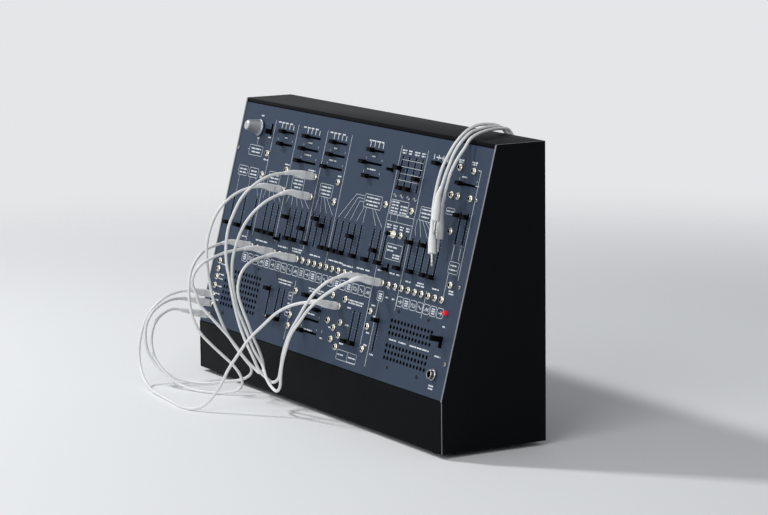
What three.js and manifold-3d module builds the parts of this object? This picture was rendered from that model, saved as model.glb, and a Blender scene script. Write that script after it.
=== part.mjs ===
// A desktop modular synthesizer: a wedge-shaped metal case with a leaning control panel,
// slide potentiometers, small jack sockets, two loudspeakers and white patch cords.
// Lengths are millimetres. X runs along the front from left to right, Y goes to the back
// and Z goes up. The case stands on four feet at Z = 0.

import {
  BoxGeometry,
  BufferAttribute,
  BufferGeometry,
  Box3,
  CatmullRomCurve3,
  ExtrudeGeometry,
  Group,
  LatheGeometry,
  Matrix4,
  Mesh,
  MeshStandardMaterial,
  Path,
  Quaternion,
  Shape,
  Vector2,
  Vector3,
} from 'three';
import { mergeVertices } from 'three/addons/utils/BufferGeometryUtils.js';
import Module from 'manifold-3d';

const wasm = await Module();
wasm.setup();

// Driving sizes of the case
const caseWidth = 570;
const caseHeight = 323.6;
const frontWallHeight = 56.5;
const panelSetback = 69.9;
const topDepth = 60.4;
const cheekThickness = 3;
const topThickness = 4.5;
const backThickness = 2.5;
const floorThickness = 3;
const frontWallThickness = 3;
const gap = 0.3;
const overrun = 1;

// Flanges folded in from the cheeks, that the panel is screwed to
const flangeWidth = 11;
const flangeThickness = 2;
const flangeEndInset = 8;

// Rubber feet
const footDiameter = 16;
const footHeight = 5;
const footSideInset = 30;
const footFrontInset = 15;
const footRearInset = 18;
const footSides = 20;

// Control panel
const panelThickness = 2;
const panelRecess = 0.6;

// Circuit board behind the panel
const boardDepth = 12;
const boardThickness = 1.6;
const boardSideInset = 16.3;
const boardFootInset = 5;
const boardTopInset = 14;
const boardClearance = 2;

// Small jack sockets
const jackHoleFlats = 6;
const jackBodyWidth = 8;
const jackNeckRadius = 2.7;
const jackNeckHeight = 3;
const jackBoreRadius = 2.1;
const jackBoreDepth = 11;
const jackSides = 8;
const hexSides = 6;

// Slide potentiometers
const slotWidth = 2.6;
const slotEndClearance = 0.5;
const sliderTravel = 33.5;
const leverWidth = 1.4;
const leverLength = 3;
const shoeWidth = 5;
const shoeLength = 8;
const shoeHeight = 2;
const trackWidth = 7;
const trackHeight = 7;
const trackEndMargin = 4;
const capWidth = 9;
const capLength = 5;
const capTopLength = 4.2;
const capDish = 0.5;
const capHeight = 6;
const capLift = 2.4;
const capGrip = 2;

// Tall knob of the input gain
const knobBaseRadius = 10;
const knobTopRadius = 6;
const knobHeight = 18.4;
const knobSkirtHeight = 2;
const knobLift = 1;
const knobShaftRadius = 3;
const knobShaftDepth = 6;
const knobHoleFlats = 9;
const knobPotWidth = 16;
const knobSides = 24;

// Slide switches
const switchBodyMargin = 2.5;
const switchShoeMargin = 1;

// Push button with its threaded collar
const buttonCollarRadius = 3.1;
const buttonCollarHeight = 6;
const buttonCollarBore = 2.2;
const buttonHoleFlats = 7;
const buttonBodyWidth = 9;
const buttonShaftRadius = 1.6;
const buttonTravel = 1.5;
const buttonCapRadius = 2.4;
const buttonCapHeight = 3;
const buttonShaftDepth = 5;
const buttonHoleSides = 8;
const buttonSides = 12;

// Quarter-inch headphone socket
const phoneBoreFlats = 7;
const phoneBoreDepth = 24;
const phoneBarrelRadius = 5.6;
const phoneHoleRadius = 6.2;
const phoneNutRadius = 7.6;
const phoneNutHeight = 4;
const phoneBodyWidth = 16;
const phoneBodyDepth = 24;
const phoneSides = 8;

// Power lamp
const lampRadius = 1.5;
const lampDomeHeight = 1;
const lampHoleRadius = 2;
const lampSides = 12;
const lampHoleSides = 8;

// Loudspeakers
const speakerFrameThickness = 2;
const speakerDepth = 30;
const speakerMagnetRadius = 15;
const speakerMagnetDepth = 10;
const speakerCutoutMargin = 2;
const speakerSides = 24;

// Spring reverberation tank on the back plate
const tankWidth = 235;
const tankDepth = 33;
const tankHeight = 111;
const tankLift = 60;
const tankWall = 1.5;

// Power supply with the mains inlet
const supplyWidth = 120;
const supplyDepth = 66;
const supplyHeight = 40;
const supplySideInset = 40;
const inletWidth = 30;
const inletHeight = 24;
const inletWall = 2.6;
const inletCavityDepth = 15;
const inletLift = 8;

// Patch cords and their moulded plugs
const cordRadius = 1.75;
const cordStep = 12;
const cordSides = 8;
const plugSides = 8;
const plugTipRadius = 1.75;
const plugTipLength = 14;
const plugBodyRadius = 5;
const plugBodyLift = 3.6;
const plugBodyLength = 20.4;
const plugReliefRadius = 3.6;
const plugReliefLength = 7;
const plugReliefEndRadius = 2.4;

// Places on the panel, as shares of the case width and of the panel's slope length
const firstColumnShare = 0.0375;
const columnStepShare = 0.02476;
const mainRowShare = 0.5104;
const jackRowShare = 0.3768;
const mainColumns = [
  0, 2, 4, 6, 7, 8, 10, 11, 12, 13, 14, 15, 16, 17,
  18, 19, 20, 21, 22, 24, 25, 26, 29, 30, 31, 32, 33, 34,
];
const jackColumnGroups = [[4, 25], [27, 36]];

// How far each main slider stands up from the lower end of its travel
const raisedShares = {
  10: 0.71, 13: 0.45, 15: 0.9, 16: 0.72, 21: 0.62, 25: 0.36, 30: 0.91, 32: 0.925,
};

// Slots of the other sliders: centre across, centre up, knob position along the slot
const uprightSlotShares = [
  [0.6813, 0.8206, 0.632],
  [0.706, 0.8206, 0],
  [0.7308, 0.8206, 0],
  [0.7555, 0.8206, 0.387],
  [0.9289, 0.6534, 0.93],
  [0.9536, 0.6534, 0.93],
  [0.273, 0.1714, 0.94],
  [0.31, 0.1714, 0],
  [0.334, 0.1714, 0],
  [0.6226, 0.1714, 0],
  [0.6463, 0.1714, 0],
  [0.7186, 0.1714, 0.97],
];
const levelSlotShares = [
  [0.204, 0.885, 0.425],
  [0.204, 0.832, 0.425],
  [0.316, 0.885, 0.237],
  [0.316, 0.832, 0.133],
  [0.316, 0.778, 0],
  [0.427, 0.885, 0.284],
  [0.427, 0.832, 0.21],
  [0.427, 0.778, 0],
  [0.575, 0.885, 0.378],
  [0.575, 0.832, 0],
  [0.575, 0.778, 0.378],
  [0.8185, 0.885, 0.46],
  [0.9285, 0.828, 0.22],
  [0.4625, 0.2436, 0.03],
  [0.4625, 0.197, 0.9],
  [0.4625, 0.15, 0.12],
  [0.4625, 0.099, 0.17],
];

// Jack sockets outside the long row
const looseJackShares = [
  [0.1435, 0.78],
  [0.14, 0.687],
  [0.24, 0.729],
  [0.4585, 0.727],
  [0.4585, 0.642],
  [0.6581, 0.683],
  [0.7575, 0.681],
  [0.7365, 0.576],
  [0.895, 0.888],
  [0.944, 0.884],
  [0.885, 0.778],
  [0.908, 0.778],
  [0.952, 0.778],
  [0.908, 0.64],
  [0.947, 0.44],
  [0.038, 0.279],
  [0.038, 0.244],
  [0.038, 0.209],
  [0.038, 0.17],
  [0.383, 0.248],
  [0.38, 0.145],
  [0.38, 0.099],
  [0.5325, 0.275],
  [0.534, 0.171],
  [0.583, 0.273],
  [0.5826, 0.177],
  [0.56, 0.149],
  [0.585, 0.125],
  [0.559, 0.101],
  [0.583, 0.076],
  [0.6856, 0.256],
  [0.6856, 0.194],
  [0.684, 0.101],
];

// Jack sockets outside the long row that hold a plug
const pluggedJackShares = {
  voiceUpper: [0.362, 0.727],
  voiceLower: [0.362, 0.642],
  sourceLower: [0.243, 0.642],
  mixerMiddle: [0.563, 0.2374],
  keysUpper: [0.038, 0.128],
  keysMiddle: [0.038, 0.088],
  keysLower: [0.038, 0.036],
};
const pluggedRowColumns = { rowFifth: 5, rowNinth: 9, rowThirteenth: 13, rowLast: 27, rowNear: 25 };

const knobShares = [0.0875, 0.8815];
const buttonShares = [0.7085, 0.575];
const phoneShares = [0.951, 0.0908];
const lampShares = [0.95, 0.3316];
const speakerShares = { left: [0.1488, 0.176], right: [0.84, 0.1746] };

// Widths of the loudspeakers, as shares of the slope length, so that they stay clear of the
// row of sockets above them
const speakerFrameShare = 0.2608;
const speakerConeShare = 0.1195;

// Slide switches: place, slot, lever and travel. raised is true where the lever rests at the top.
const switches = {
  range_switch: {
    shares: [0.137, 0.8846],
    travel: 6.5,
    leverLength: 5,
    leverWidth: 3.6,
    leverHeight: 8,
    slotClearance: 1.1,
    slotWidth: 4.3,
    raised: false,
  },
  mode_switch: {
    shares: [0.711, 0.441],
    travel: 4,
    leverLength: 3.6,
    leverWidth: 3.6,
    leverHeight: 8,
    slotClearance: 1,
    slotWidth: 4.3,
    raised: false,
  },
  filter_switch: {
    shares: [0.652, 0.831],
    travel: 4,
    leverLength: 3.6,
    leverWidth: 3.6,
    leverHeight: 8,
    slotClearance: 1,
    slotWidth: 4.3,
    raised: false,
  },
  power_switch: {
    shares: [0.952, 0.2188],
    travel: 6,
    leverLength: 5,
    leverWidth: 6,
    leverHeight: 14,
    slotClearance: 0.8,
    slotWidth: 6.8,
    raised: true,
  },
};

// A slide switch that stays where it is, with the sizes of another
const fixedSwitch = { ...switches.mode_switch, shares: [0.265, 0.444] };
const allSwitches = [...Object.values(switches), fixedSwitch];

// Worked-out sizes and levels. Levels on the panel count outwards from the plane through
// the cheeks' front edges.
const caseDepth = panelSetback + topDepth;
const slopeRise = caseHeight - frontWallHeight;
const slopeLength = Math.hypot(panelSetback, slopeRise);
const lean = Math.atan2(panelSetback, slopeRise);
const innerHalfWidth = caseWidth / 2 - cheekThickness;
const plateHalfWidth = innerHalfWidth - gap;
const panelFace = -panelRecess;
const panelBack = panelFace - panelThickness;
const boardFace = panelBack - boardDepth;
const boardBack = boardFace - boardThickness;
const trackTop = boardFace + trackHeight;
const shoeBottom = trackTop + gap;
const shoeTop = shoeBottom + shoeHeight;
const capBottom = panelFace + capLift;
const capTop = capBottom + capHeight;
const slotLength = sliderTravel + leverLength + 2 * slotEndClearance;
const jackTop = panelBack - gap;
const jackBoreBottom = panelFace - jackBoreDepth;
const speakerFrameWidth = speakerFrameShare * slopeLength;
const speakerConeRadius = speakerConeShare * slopeLength;
const columnX = (column) => (firstColumnShare + columnStepShare * column) * caseWidth - caseWidth / 2;
const placeOf = ([xShare, yShare]) => [xShare * caseWidth - caseWidth / 2, yShare * slopeLength];

// Routes of the cords' centre lines, chosen by hand, in the case's own frame: Y = 0 at the
// front wall and Z = 0 under the case's floor.
const cordRoutes = {
  patch_cord_1: [
    [-263, -12, 96], [-263, -21, 99], [-265, -47, 96], [-265, -65, 87], [-264, -79, 73],
    [-262, -88, 56], [-256, -95, 37], [-246, -99, 20], [-228, -103, 7], [-204, -106, -1.8],
    [-167, -111, -2.6], [-132, -114, -3], [-98, -117, -3], [-78, -113, -2.4], [-66, -105, 2],
    [-58, -98, 12], [-52, -90, 26], [-45, -83, 45], [-38, -75, 61], [-30, -64, 80], [-19, -51, 97],
    [-4, -40, 113], [13, -28, 123], [36, -13, 128], [36, -5, 126],
  ],
  patch_cord_2: [
    [-263, -15, 86], [-263, -24, 88], [-259, -47, 91], [-255, -65, 87], [-251, -79, 79], [-247, -89, 66],
    [-242, -93, 51], [-241, -90, 33.5], [-233.5, -85.5, 21.5], [-221.5, -78.5, 12],
    [-209.5, -69.5, 6], [-191, -58, 3], [-169, -46, 4], [-153, -28, 7], [-142, -15, 10],
    [-134, -9, 17], [-129, -11, 26], [-128, -19, 36], [-131, -29, 51], [-136, -38, 68],
    [-140, -45, 87], [-143, -51, 107], [-145, -55, 130],
    [-146, -57, 152], [-147, -56, 174], [-148, -50, 193], [-149, -40, 210], [-149, -27, 222],
    [-148, -11, 231], [-146, 15, 236], [-146, 24, 234],
  ],
  patch_cord_3: [
    [-263, -19, 72], [-263, -27, 74], [-264, -47, 78], [-262, -60, 74], [-258, -72, 65],
    [-252, -80, 52], [-242.5, -84.5, 38.5], [-230, -85, 25.5], [-216.5, -81, 13.5], [-200, -74, 3],
    [-178, -65, -2.4], [-153, -54, -2.9], [-134, -40, -1.9], [-127, -30, 1], [-127, -24, 8],
    [-131, -24, 17], [-138, -29, 28], [-145, -39, 40], [-150, -51, 53], [-156, -62, 67],
    [-163, -68, 84], [-170, -69, 103], [-176, -66, 122], [-181, -60, 139], [-185, -49, 152],
    [-189, -35, 160], [-193, -4, 165], [-193, 5, 163],
  ],
  patch_cord_4: [
    [-79, 30, 256], [-79, 21, 258], [-79, -10, 256], [-80, -30, 246], [-80, -44, 234], [-80, -54, 218],
    [-81, -61, 201], [-82, -64, 181], [-82, -64, 162], [-82, -61, 143], [-79, -59, 124], [-77, -56, 106],
    [-73, -53, 88], [-65, -50, 71], [-55, -46.5, 55], [-48.5, -41.5, 38.5], [-39, -36, 30], [-28, -35, 28],
    [-17, -34, 34], [-7, -36, 48], [4, -39, 65], [17, -41, 82], [30, -42, 97], [46, -41, 114],
    [62, -39, 132], [76, -34, 148], [86, -25, 159], [89, -4, 165], [89, 5, 163],
  ],
  patch_cord_5: [
    [-79, 24, 234], [-79, 15, 236], [-80, -7, 230], [-82, -20, 222], [-85, -31, 211], [-88, -40, 197],
    [-91, -46, 180], [-94, -50, 161], [-94, -51, 143], [-92, -50, 124], [-88, -48, 106], [-81, -45, 90],
    [-71, -43, 74], [-62, -40.5, 59], [-46.5, -38.5, 45], [-32, -41, 32], [-19, -41, 24], [-8, -41, 22],
    [2, -42, 29], [10, -45, 43], [18, -47, 59], [29, -48, 77], [42, -48, 96], [57, -45, 112],
    [74, -42, 129], [90, -35, 143], [103, -25, 154], [117, -4, 165], [117, 5, 163],
  ],
  patch_cord_6: [
    [-137, 5, 163], [-137, -4, 165], [-137, -35, 163], [-138, -54, 158], [-138, -69, 151],
    [-138, -78, 141], [-137, -81, 130], [-135, -77, 118], [-136, -73, 106], [-132, -64, 94],
    [-127, -54, 81], [-122, -44, 68], [-117, -35, 54], [-111, -26, 39], [-103, -20, 30],
    [-95, -18, 26], [-85, -18, 30], [-77, -22, 41], [-73, -29, 57], [-71, -37, 73], [-69, -45, 92],
    [-69, -52, 110], [-70, -56, 126], [-72, -54, 140], [-75, -47, 151], [-78, -34, 160],
    [-80, -4, 165], [-80, 5, 163],
  ],
  spare_cord_1: [
    [231.5, 22.5, 223.5], [228.5, 24.5, 231.5], [221, 29.5, 247.5], [217, 34.5, 263],
    [217, 39, 280], [218, 44, 295], [219, 50, 306], [219, 57, 316], [218, 65, 324],
    [216.5, 75, 331], [213.5, 86, 335], [210.5, 97, 336], [207, 109, 335], [203.5, 120, 333],
    [201, 129, 329], [199, 135, 323], [197.6, 139, 315], [196.3, 140, 303], [194.5, 140, 285],
    [194, 139, 250], [193, 138, 210], [192, 137, 170], [192, 137, 130], [192, 137, 112],
    [192, 137, 103],
  ],
  spare_cord_2: [
    [231.7, 28.9, 257.3], [229.8, 31.5, 266.3], [228.7, 36.4, 276], [227.5, 41.4, 287],
    [227.1, 46.8, 298], [226.6, 52.1, 308], [227, 58, 317], [227, 66, 325], [224.5, 75, 330],
    [221, 86, 332], [217.5, 97, 333], [214, 108, 333], [210, 119, 332], [206, 128, 329],
    [203.5, 134, 324], [202, 139, 316], [201, 140, 302], [201, 140, 282], [202, 139, 250],
    [204, 138, 215], [206, 137, 175], [206, 137, 140], [206, 137, 122], [206, 137, 113],
  ],
  spare_cord_3: [
    [224, 37, 237], [223, 38.5, 246], [226, 40.5, 262], [229, 42, 275], [232, 44.5, 288],
    [234, 49, 299], [236, 54, 308], [237, 60, 316], [238, 66, 325], [235.5, 76, 329],
    [232.5, 86, 331], [229.5, 96, 332], [226, 105, 332], [220, 118, 331], [215, 128, 329],
    [212, 134, 324], [210, 139, 316], [210, 140, 302], [210.5, 140, 282], [213, 139, 250],
    [217, 138, 215], [220, 137, 175], [221, 137, 140], [221, 137, 110], [221, 137, 90],
    [221, 137, 81],
  ],
};

// The jack socket that each end of a patch cord is plugged into
const cordSockets = {
  patch_cord_1: ['keysUpper', 'mixerMiddle'],
  patch_cord_2: ['keysMiddle', 'sourceLower'],
  patch_cord_3: ['keysLower', 'rowFifth'],
  patch_cord_4: ['voiceUpper', 'rowNear'],
  patch_cord_5: ['voiceLower', 'rowLast'],
  patch_cord_6: ['rowNinth', 'rowThirteenth'],
};

// Places of all jack sockets
const socketPlaces = {};
for (const [name, shares] of Object.entries(pluggedJackShares)) {
  socketPlaces[name] = placeOf(shares);
}
for (const [name, column] of Object.entries(pluggedRowColumns)) {
  socketPlaces[name] = [columnX(column), jackRowShare * slopeLength];
}
const pluggedColumns = Object.values(pluggedRowColumns);
const openJackPlaces = looseJackShares.map(placeOf);
for (const [first, last] of jackColumnGroups) {
  for (let column = first; column <= last; column += 1) {
    if (!pluggedColumns.includes(column)) {
      openJackPlaces.push([columnX(column), jackRowShare * slopeLength]);
    }
  }
}
const pluggedJackPlaces = Object.values(socketPlaces);

// A finish for one sub-part
function finish(color, roughness, metalness) {
  return new MeshStandardMaterial({ color, roughness, metalness });
}

const blackMetal = () => finish(0x17181a, 0.5, 0.6);
const panelPaint = () => finish(0x3a4450, 0.55, 0.2);
const blackPlastic = () => finish(0x101114, 0.5, 0);
const whitePlastic = () => finish(0xd9dad6, 0.5, 0);
const boardGreen = () => finish(0x1c4a2e, 0.6, 0.1);
const paleSteel = () => finish(0x9a9c9c, 0.4, 0.9);

// Turns a closed geometry into a solid that can be joined and cut
function solidOf(geometry) {
  const bare = geometry.index ? geometry.toNonIndexed() : geometry.clone();
  bare.deleteAttribute('normal');
  bare.deleteAttribute('uv');
  const merged = mergeVertices(bare);
  const vertProperties = new Float32Array(merged.attributes.position.array);
  const triVerts = new Uint32Array(merged.index.array);
  return new wasm.Manifold(new wasm.Mesh({ numProp: 3, vertProperties, triVerts }));
}

// Turns a joined or cut solid back into a geometry
function geometryOf(solid) {
  const { vertProperties, triVerts } = solid.getMesh();
  const geometry = new BufferGeometry();
  geometry.setAttribute('position', new BufferAttribute(new Float32Array(vertProperties), 3));
  geometry.setIndex(new BufferAttribute(new Uint32Array(triVerts), 1));
  geometry.computeVertexNormals();
  return geometry;
}

// Joins closed geometries into one solid
function joined(geometries) {
  return geometries.map(solidOf).reduce((whole, piece) => whole.add(piece));
}

// A box between two levels, centred at x and y, or standing where its ranges say
function block([x0, x1], [y0, y1], [z0, z1]) {
  const box = new BoxGeometry(x1 - x0, y1 - y0, z1 - z0);
  return box.translate((x0 + x1) / 2, (y0 + y1) / 2, (z0 + z1) / 2);
}

function post([x, y], width, length, bottom, top) {
  return block([x - width / 2, x + width / 2], [y - length / 2, y + length / 2], [bottom, top]);
}

// A solid turned about Z from points of radius and height, listed from bottom to top
function turned(profile, sides, turn = 0) {
  const points = profile.map(([radius, height]) => new Vector2(radius, height));
  return new LatheGeometry(points, sides).rotateX(Math.PI / 2).rotateZ(turn);
}

// Turn that puts a flat, not a corner, of a regular outline towards X
const flatTurn = (sides) => Math.PI / sides;

function prism([x, y], radius, sides, bottom, top) {
  const profile = [[0, bottom], [radius, bottom], [radius, top], [0, top]];
  return turned(profile, sides, flatTurn(sides)).translate(x, y, 0);
}

// Corner radius of a regular outline from its distance across flats
const cornerRadius = (flats, sides) => flats / 2 / Math.cos(Math.PI / sides);

// Outlines for holes
function rectanglePath(path, [x, y], width, length) {
  path.moveTo(x - width / 2, y - length / 2);
  path.lineTo(x + width / 2, y - length / 2);
  path.lineTo(x + width / 2, y + length / 2);
  path.lineTo(x - width / 2, y + length / 2);
  path.closePath();
  return path;
}

function regularPath(path, [x, y], radius, sides) {
  const first = flatTurn(sides);
  path.moveTo(x + radius * Math.cos(first), y + radius * Math.sin(first));
  for (let side = 1; side < sides; side += 1) {
    const angle = first + (2 * Math.PI * side) / sides;
    path.lineTo(x + radius * Math.cos(angle), y + radius * Math.sin(angle));
  }
  path.closePath();
  return path;
}

function outline(points) {
  return new Shape(points.map(([x, y]) => new Vector2(x, y)));
}

function plate(shape, bottom, top) {
  const solid = new ExtrudeGeometry(shape, { depth: top - bottom, bevelEnabled: false, curveSegments: 1 });
  return solid.translate(0, 0, bottom);
}

// Turns a plate drawn in Y and Z, and as thick as it is along X, into the case's frame
function acrossCase(geometry) {
  const turn = new Matrix4().makeBasis(new Vector3(0, 1, 0), new Vector3(0, 0, 1), new Vector3(1, 0, 0));
  return geometry.applyMatrix4(turn);
}

const caseGroup = new Group();
const panelGroup = new Group();
panelGroup.position.z = frontWallHeight;
panelGroup.rotation.x = Math.PI / 2 - lean;
caseGroup.add(panelGroup);

function place(group, name, geometry, material) {
  const mesh = new Mesh(geometry, material);
  mesh.name = name;
  group.add(mesh);
  return mesh;
}

// The panel's frame as a matrix, for what is joined to a piece in the other frame
panelGroup.updateMatrix();
const panelMatrix = panelGroup.matrix.clone();

// Cheeks with their folded flanges
function cheek(side) {
  const sideOutline = outline([
    [0, 0],
    [caseDepth, 0],
    [caseDepth, caseHeight],
    [panelSetback, caseHeight],
    [0, frontWallHeight],
  ]);
  const outer = side * (caseWidth / 2);
  const inner = side * innerHalfWidth;
  const wall = acrossCase(plate(sideOutline, Math.min(outer, inner), Math.max(outer, inner)));
  const flangeEdge = inner - side * flangeWidth;
  const flangeRoot = inner + side * (cheekThickness / 2);
  const across = [Math.min(flangeEdge, flangeRoot), Math.max(flangeEdge, flangeRoot)];
  const along = [flangeEndInset, slopeLength - flangeEndInset - topThickness];
  const levels = [panelBack - gap - flangeThickness, panelBack - gap];
  const flange = block(across, along, levels).applyMatrix4(panelMatrix);
  return geometryOf(joined([wall, flange]));
}

place(caseGroup, 'side_panel_left', cheek(-1), blackMetal());
place(caseGroup, 'side_panel_right', cheek(1), blackMetal());

// Plates between the cheeks
const plateAcross = [-plateHalfWidth, plateHalfWidth];
const topPlate = block(plateAcross, [panelSetback, caseDepth], [caseHeight - topThickness, caseHeight]);
place(caseGroup, 'top_panel', topPlate, blackMetal());

const trayBack = caseDepth - backThickness - gap;
const trayOutline = outline([
  [0, 0],
  [trayBack, 0],
  [trayBack, floorThickness],
  [frontWallThickness, floorThickness],
  [frontWallThickness, frontWallHeight],
  [0, frontWallHeight],
]);
const tray = acrossCase(plate(trayOutline, -plateHalfWidth, plateHalfWidth));
place(caseGroup, 'base_tray', tray, blackMetal());

const supplyX = caseWidth / 2 - supplySideInset - supplyWidth / 2;
const supplyBottom = floorThickness + gap;
const inletZ = supplyBottom + inletLift + inletHeight / 2;
const backTop = caseHeight - topThickness - gap;
const backOutline = outline([
  [-plateHalfWidth, 0],
  [plateHalfWidth, 0],
  [plateHalfWidth, backTop],
  [-plateHalfWidth, backTop],
]);
const inletHole = rectanglePath(new Path(), [supplyX, inletZ], inletWidth + 2 * gap, inletHeight + 2 * gap);
backOutline.holes.push(inletHole);
const backPlate = plate(backOutline, 0, backThickness).rotateX(Math.PI / 2).translate(0, caseDepth, 0);
place(caseGroup, 'back_panel', backPlate, blackMetal());

// Feet
const footX = caseWidth / 2 - footSideInset;
const footPlaces = {
  foot_front_left: [-footX, footFrontInset],
  foot_front_right: [footX, footFrontInset],
  foot_rear_left: [-footX, caseDepth - footRearInset],
  foot_rear_right: [footX, caseDepth - footRearInset],
};
for (const [name, at] of Object.entries(footPlaces)) {
  place(caseGroup, name, prism(at, footDiameter / 2, footSides, -footHeight, 0), blackPlastic());
}

// Control panel with its slots and holes
const buttonPlace = placeOf(buttonShares);
const phonePlace = placeOf(phoneShares);
const lampPlace = placeOf(lampShares);
const knobPlace = placeOf(knobShares);
const mainRowY = mainRowShare * slopeLength;
const panelFoot = (panelRecess + panelThickness) * Math.tan(lean) + gap;
const panelHead = slopeLength - topThickness * Math.cos(lean) - 2 * gap;
const uprightSlots = uprightSlotShares.map(([x, y, rest]) => ({ at: placeOf([x, y]), rest, level: false }));
const levelSlots = levelSlotShares.map(([x, y, rest]) => ({ at: placeOf([x, y]), rest, level: true }));
const fixedSlots = [...uprightSlots, ...levelSlots];
const switchSlot = (spec) => spec.travel + spec.leverLength + 2 * spec.slotClearance;

function frontPanel() {
  const levels = [panelBack - overrun, panelFace + overrun];
  const cutters = [];
  for (const column of mainColumns) {
    cutters.push(post([columnX(column), mainRowY], slotWidth, slotLength, ...levels));
  }
  for (const { at, level } of fixedSlots) {
    const [width, length] = level ? [slotLength, slotWidth] : [slotWidth, slotLength];
    cutters.push(post(at, width, length, ...levels));
  }
  for (const at of [...openJackPlaces, ...pluggedJackPlaces]) {
    cutters.push(prism(at, cornerRadius(jackHoleFlats, hexSides), hexSides, ...levels));
  }
  for (const spec of allSwitches) {
    cutters.push(post(placeOf(spec.shares), spec.slotWidth, switchSlot(spec), ...levels));
  }
  cutters.push(prism(knobPlace, cornerRadius(knobHoleFlats, hexSides), hexSides, ...levels));
  const buttonHoleRadius = cornerRadius(buttonHoleFlats, buttonHoleSides);
  cutters.push(prism(buttonPlace, buttonHoleRadius, buttonHoleSides, ...levels));
  cutters.push(prism(phonePlace, phoneHoleRadius, phoneSides, ...levels));
  cutters.push(prism(lampPlace, lampHoleRadius, lampHoleSides, ...levels));
  const sheet = block([-plateHalfWidth, plateHalfWidth], [panelFoot, panelHead], [panelBack, panelFace]);
  return geometryOf(solidOf(sheet).subtract(joined(cutters)));
}

place(panelGroup, 'front_panel', frontPanel(), panelPaint());

// A slide potentiometer's cap and lever, with the shoe only where the piece slides
function capBlock([x, y]) {
  const side = outline([
    [-capLength / 2, 0],
    [capLength / 2, 0],
    [capTopLength / 2, capHeight],
    [0, capHeight - capDish],
    [-capTopLength / 2, capHeight],
  ]);
  return acrossCase(plate(side, -capWidth / 2, capWidth / 2)).translate(x, y, capBottom);
}

function sliderPieces([x, y], level, bottom) {
  const [width, length] = level ? [leverLength, leverWidth] : [leverWidth, leverLength];
  return [capBlock([x, y]), post([x, y], width, length, bottom, capBottom + capGrip)];
}

function mainSlider(x, y) {
  const shoe = post([x, y], shoeWidth, shoeLength, shoeBottom, shoeTop);
  return geometryOf(joined([...sliderPieces([x, y], false, shoeTop - shoeHeight / 2), shoe]));
}

for (const column of mainColumns) {
  const raised = (raisedShares[column] ?? 0) * sliderTravel;
  const y = mainRowY - sliderTravel / 2 + raised;
  const name = `slider_column_${String(column + 1).padStart(2, '0')}`;
  place(panelGroup, name, mainSlider(columnX(column), y), blackPlastic());
}

// Circuit board with potentiometer tracks, jack bodies, switch bodies and the sliders
// that stay where they are
function board() {
  const halfWidth = caseWidth / 2 - boardSideInset;
  const notchX = phonePlace[0] - phoneBodyWidth / 2 - boardClearance;
  const notchY = phonePlace[1] + phoneBodyWidth / 2 + boardClearance;
  const sheet = outline([
    [-halfWidth, boardFootInset],
    [notchX, boardFootInset],
    [notchX, notchY],
    [halfWidth, notchY],
    [halfWidth, slopeLength - boardTopInset],
    [-halfWidth, slopeLength - boardTopInset],
  ]);
  const cutout = speakerFrameWidth + 2 * speakerCutoutMargin;
  const speakerCuts = Object.values(speakerShares).map((shares) => {
    return post(placeOf(shares), cutout, cutout, boardBack - overrun, boardFace + overrun);
  });
  const bare = solidOf(plate(sheet, boardBack, boardFace)).subtract(joined(speakerCuts));
  const root = boardFace - boardThickness / 2;
  const pieces = [geometryOf(bare)];
  const trackLength = slotLength + 2 * trackEndMargin;
  for (const column of mainColumns) {
    pieces.push(post([columnX(column), mainRowY], trackWidth, trackLength, root, trackTop));
  }
  for (const { at, rest, level } of fixedSlots) {
    const [width, length] = level ? [trackLength, trackWidth] : [trackWidth, trackLength];
    const shift = (rest - 1 / 2) * sliderTravel;
    const stand = level ? [at[0] + shift, at[1]] : [at[0], at[1] + shift];
    pieces.push(post(at, width, length, root, trackTop));
    pieces.push(...sliderPieces(stand, level, trackTop - overrun));
  }
  for (const at of [...openJackPlaces, ...pluggedJackPlaces]) {
    pieces.push(post(at, jackBodyWidth, jackBodyWidth, root, jackTop));
  }
  for (const spec of allSwitches) {
    const width = spec.slotWidth + 2 * switchBodyMargin;
    pieces.push(post(placeOf(spec.shares), width, switchSlot(spec) + 2 * switchBodyMargin, root, trackTop));
  }
  const [switchX, switchMiddle] = placeOf(fixedSwitch.shares);
  const switchStand = [switchX, switchMiddle - fixedSwitch.travel / 2];
  const switchTop = panelFace + fixedSwitch.leverHeight;
  const { leverWidth: across, leverLength: along } = fixedSwitch;
  pieces.push(post(switchStand, across, along, trackTop - overrun, switchTop));
  pieces.push(post(knobPlace, knobPotWidth, knobPotWidth, root, panelFace - knobShaftDepth - gap));
  pieces.push(post(buttonPlace, buttonBodyWidth, buttonBodyWidth, root, jackTop));
  const collarTop = panelFace + buttonCollarHeight;
  pieces.push(prism(buttonPlace, buttonCollarRadius, buttonHoleSides, jackTop - overrun, collarTop));
  for (const at of pluggedJackPlaces) {
    pieces.push(prism(at, jackNeckRadius, jackSides, jackTop - overrun, panelFace + jackNeckHeight));
  }
  let whole = joined(pieces);
  for (const at of pluggedJackPlaces) {
    const boreTop = panelFace + jackNeckHeight + overrun;
    whole = whole.subtract(solidOf(prism(at, jackBoreRadius, jackSides, jackBoreBottom, boreTop)));
  }
  const buttonBore = [panelFace - buttonShaftDepth - buttonTravel - gap, collarTop + overrun];
  whole = whole.subtract(solidOf(prism(buttonPlace, buttonCollarBore, buttonHoleSides, ...buttonBore)));
  return geometryOf(whole);
}

place(panelGroup, 'control_board', board(), boardGreen());

// Gain knob on its shaft
function gainKnob() {
  const bottom = panelFace + knobLift;
  const profile = [
    [0, panelFace - knobShaftDepth],
    [knobShaftRadius, panelFace - knobShaftDepth],
    [knobShaftRadius, bottom],
    [knobBaseRadius, bottom],
    [knobBaseRadius, bottom + knobSkirtHeight],
    [knobTopRadius, bottom + knobHeight],
    [0, bottom + knobHeight],
  ];
  return turned(profile, knobSides).translate(knobPlace[0], knobPlace[1], 0);
}

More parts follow.
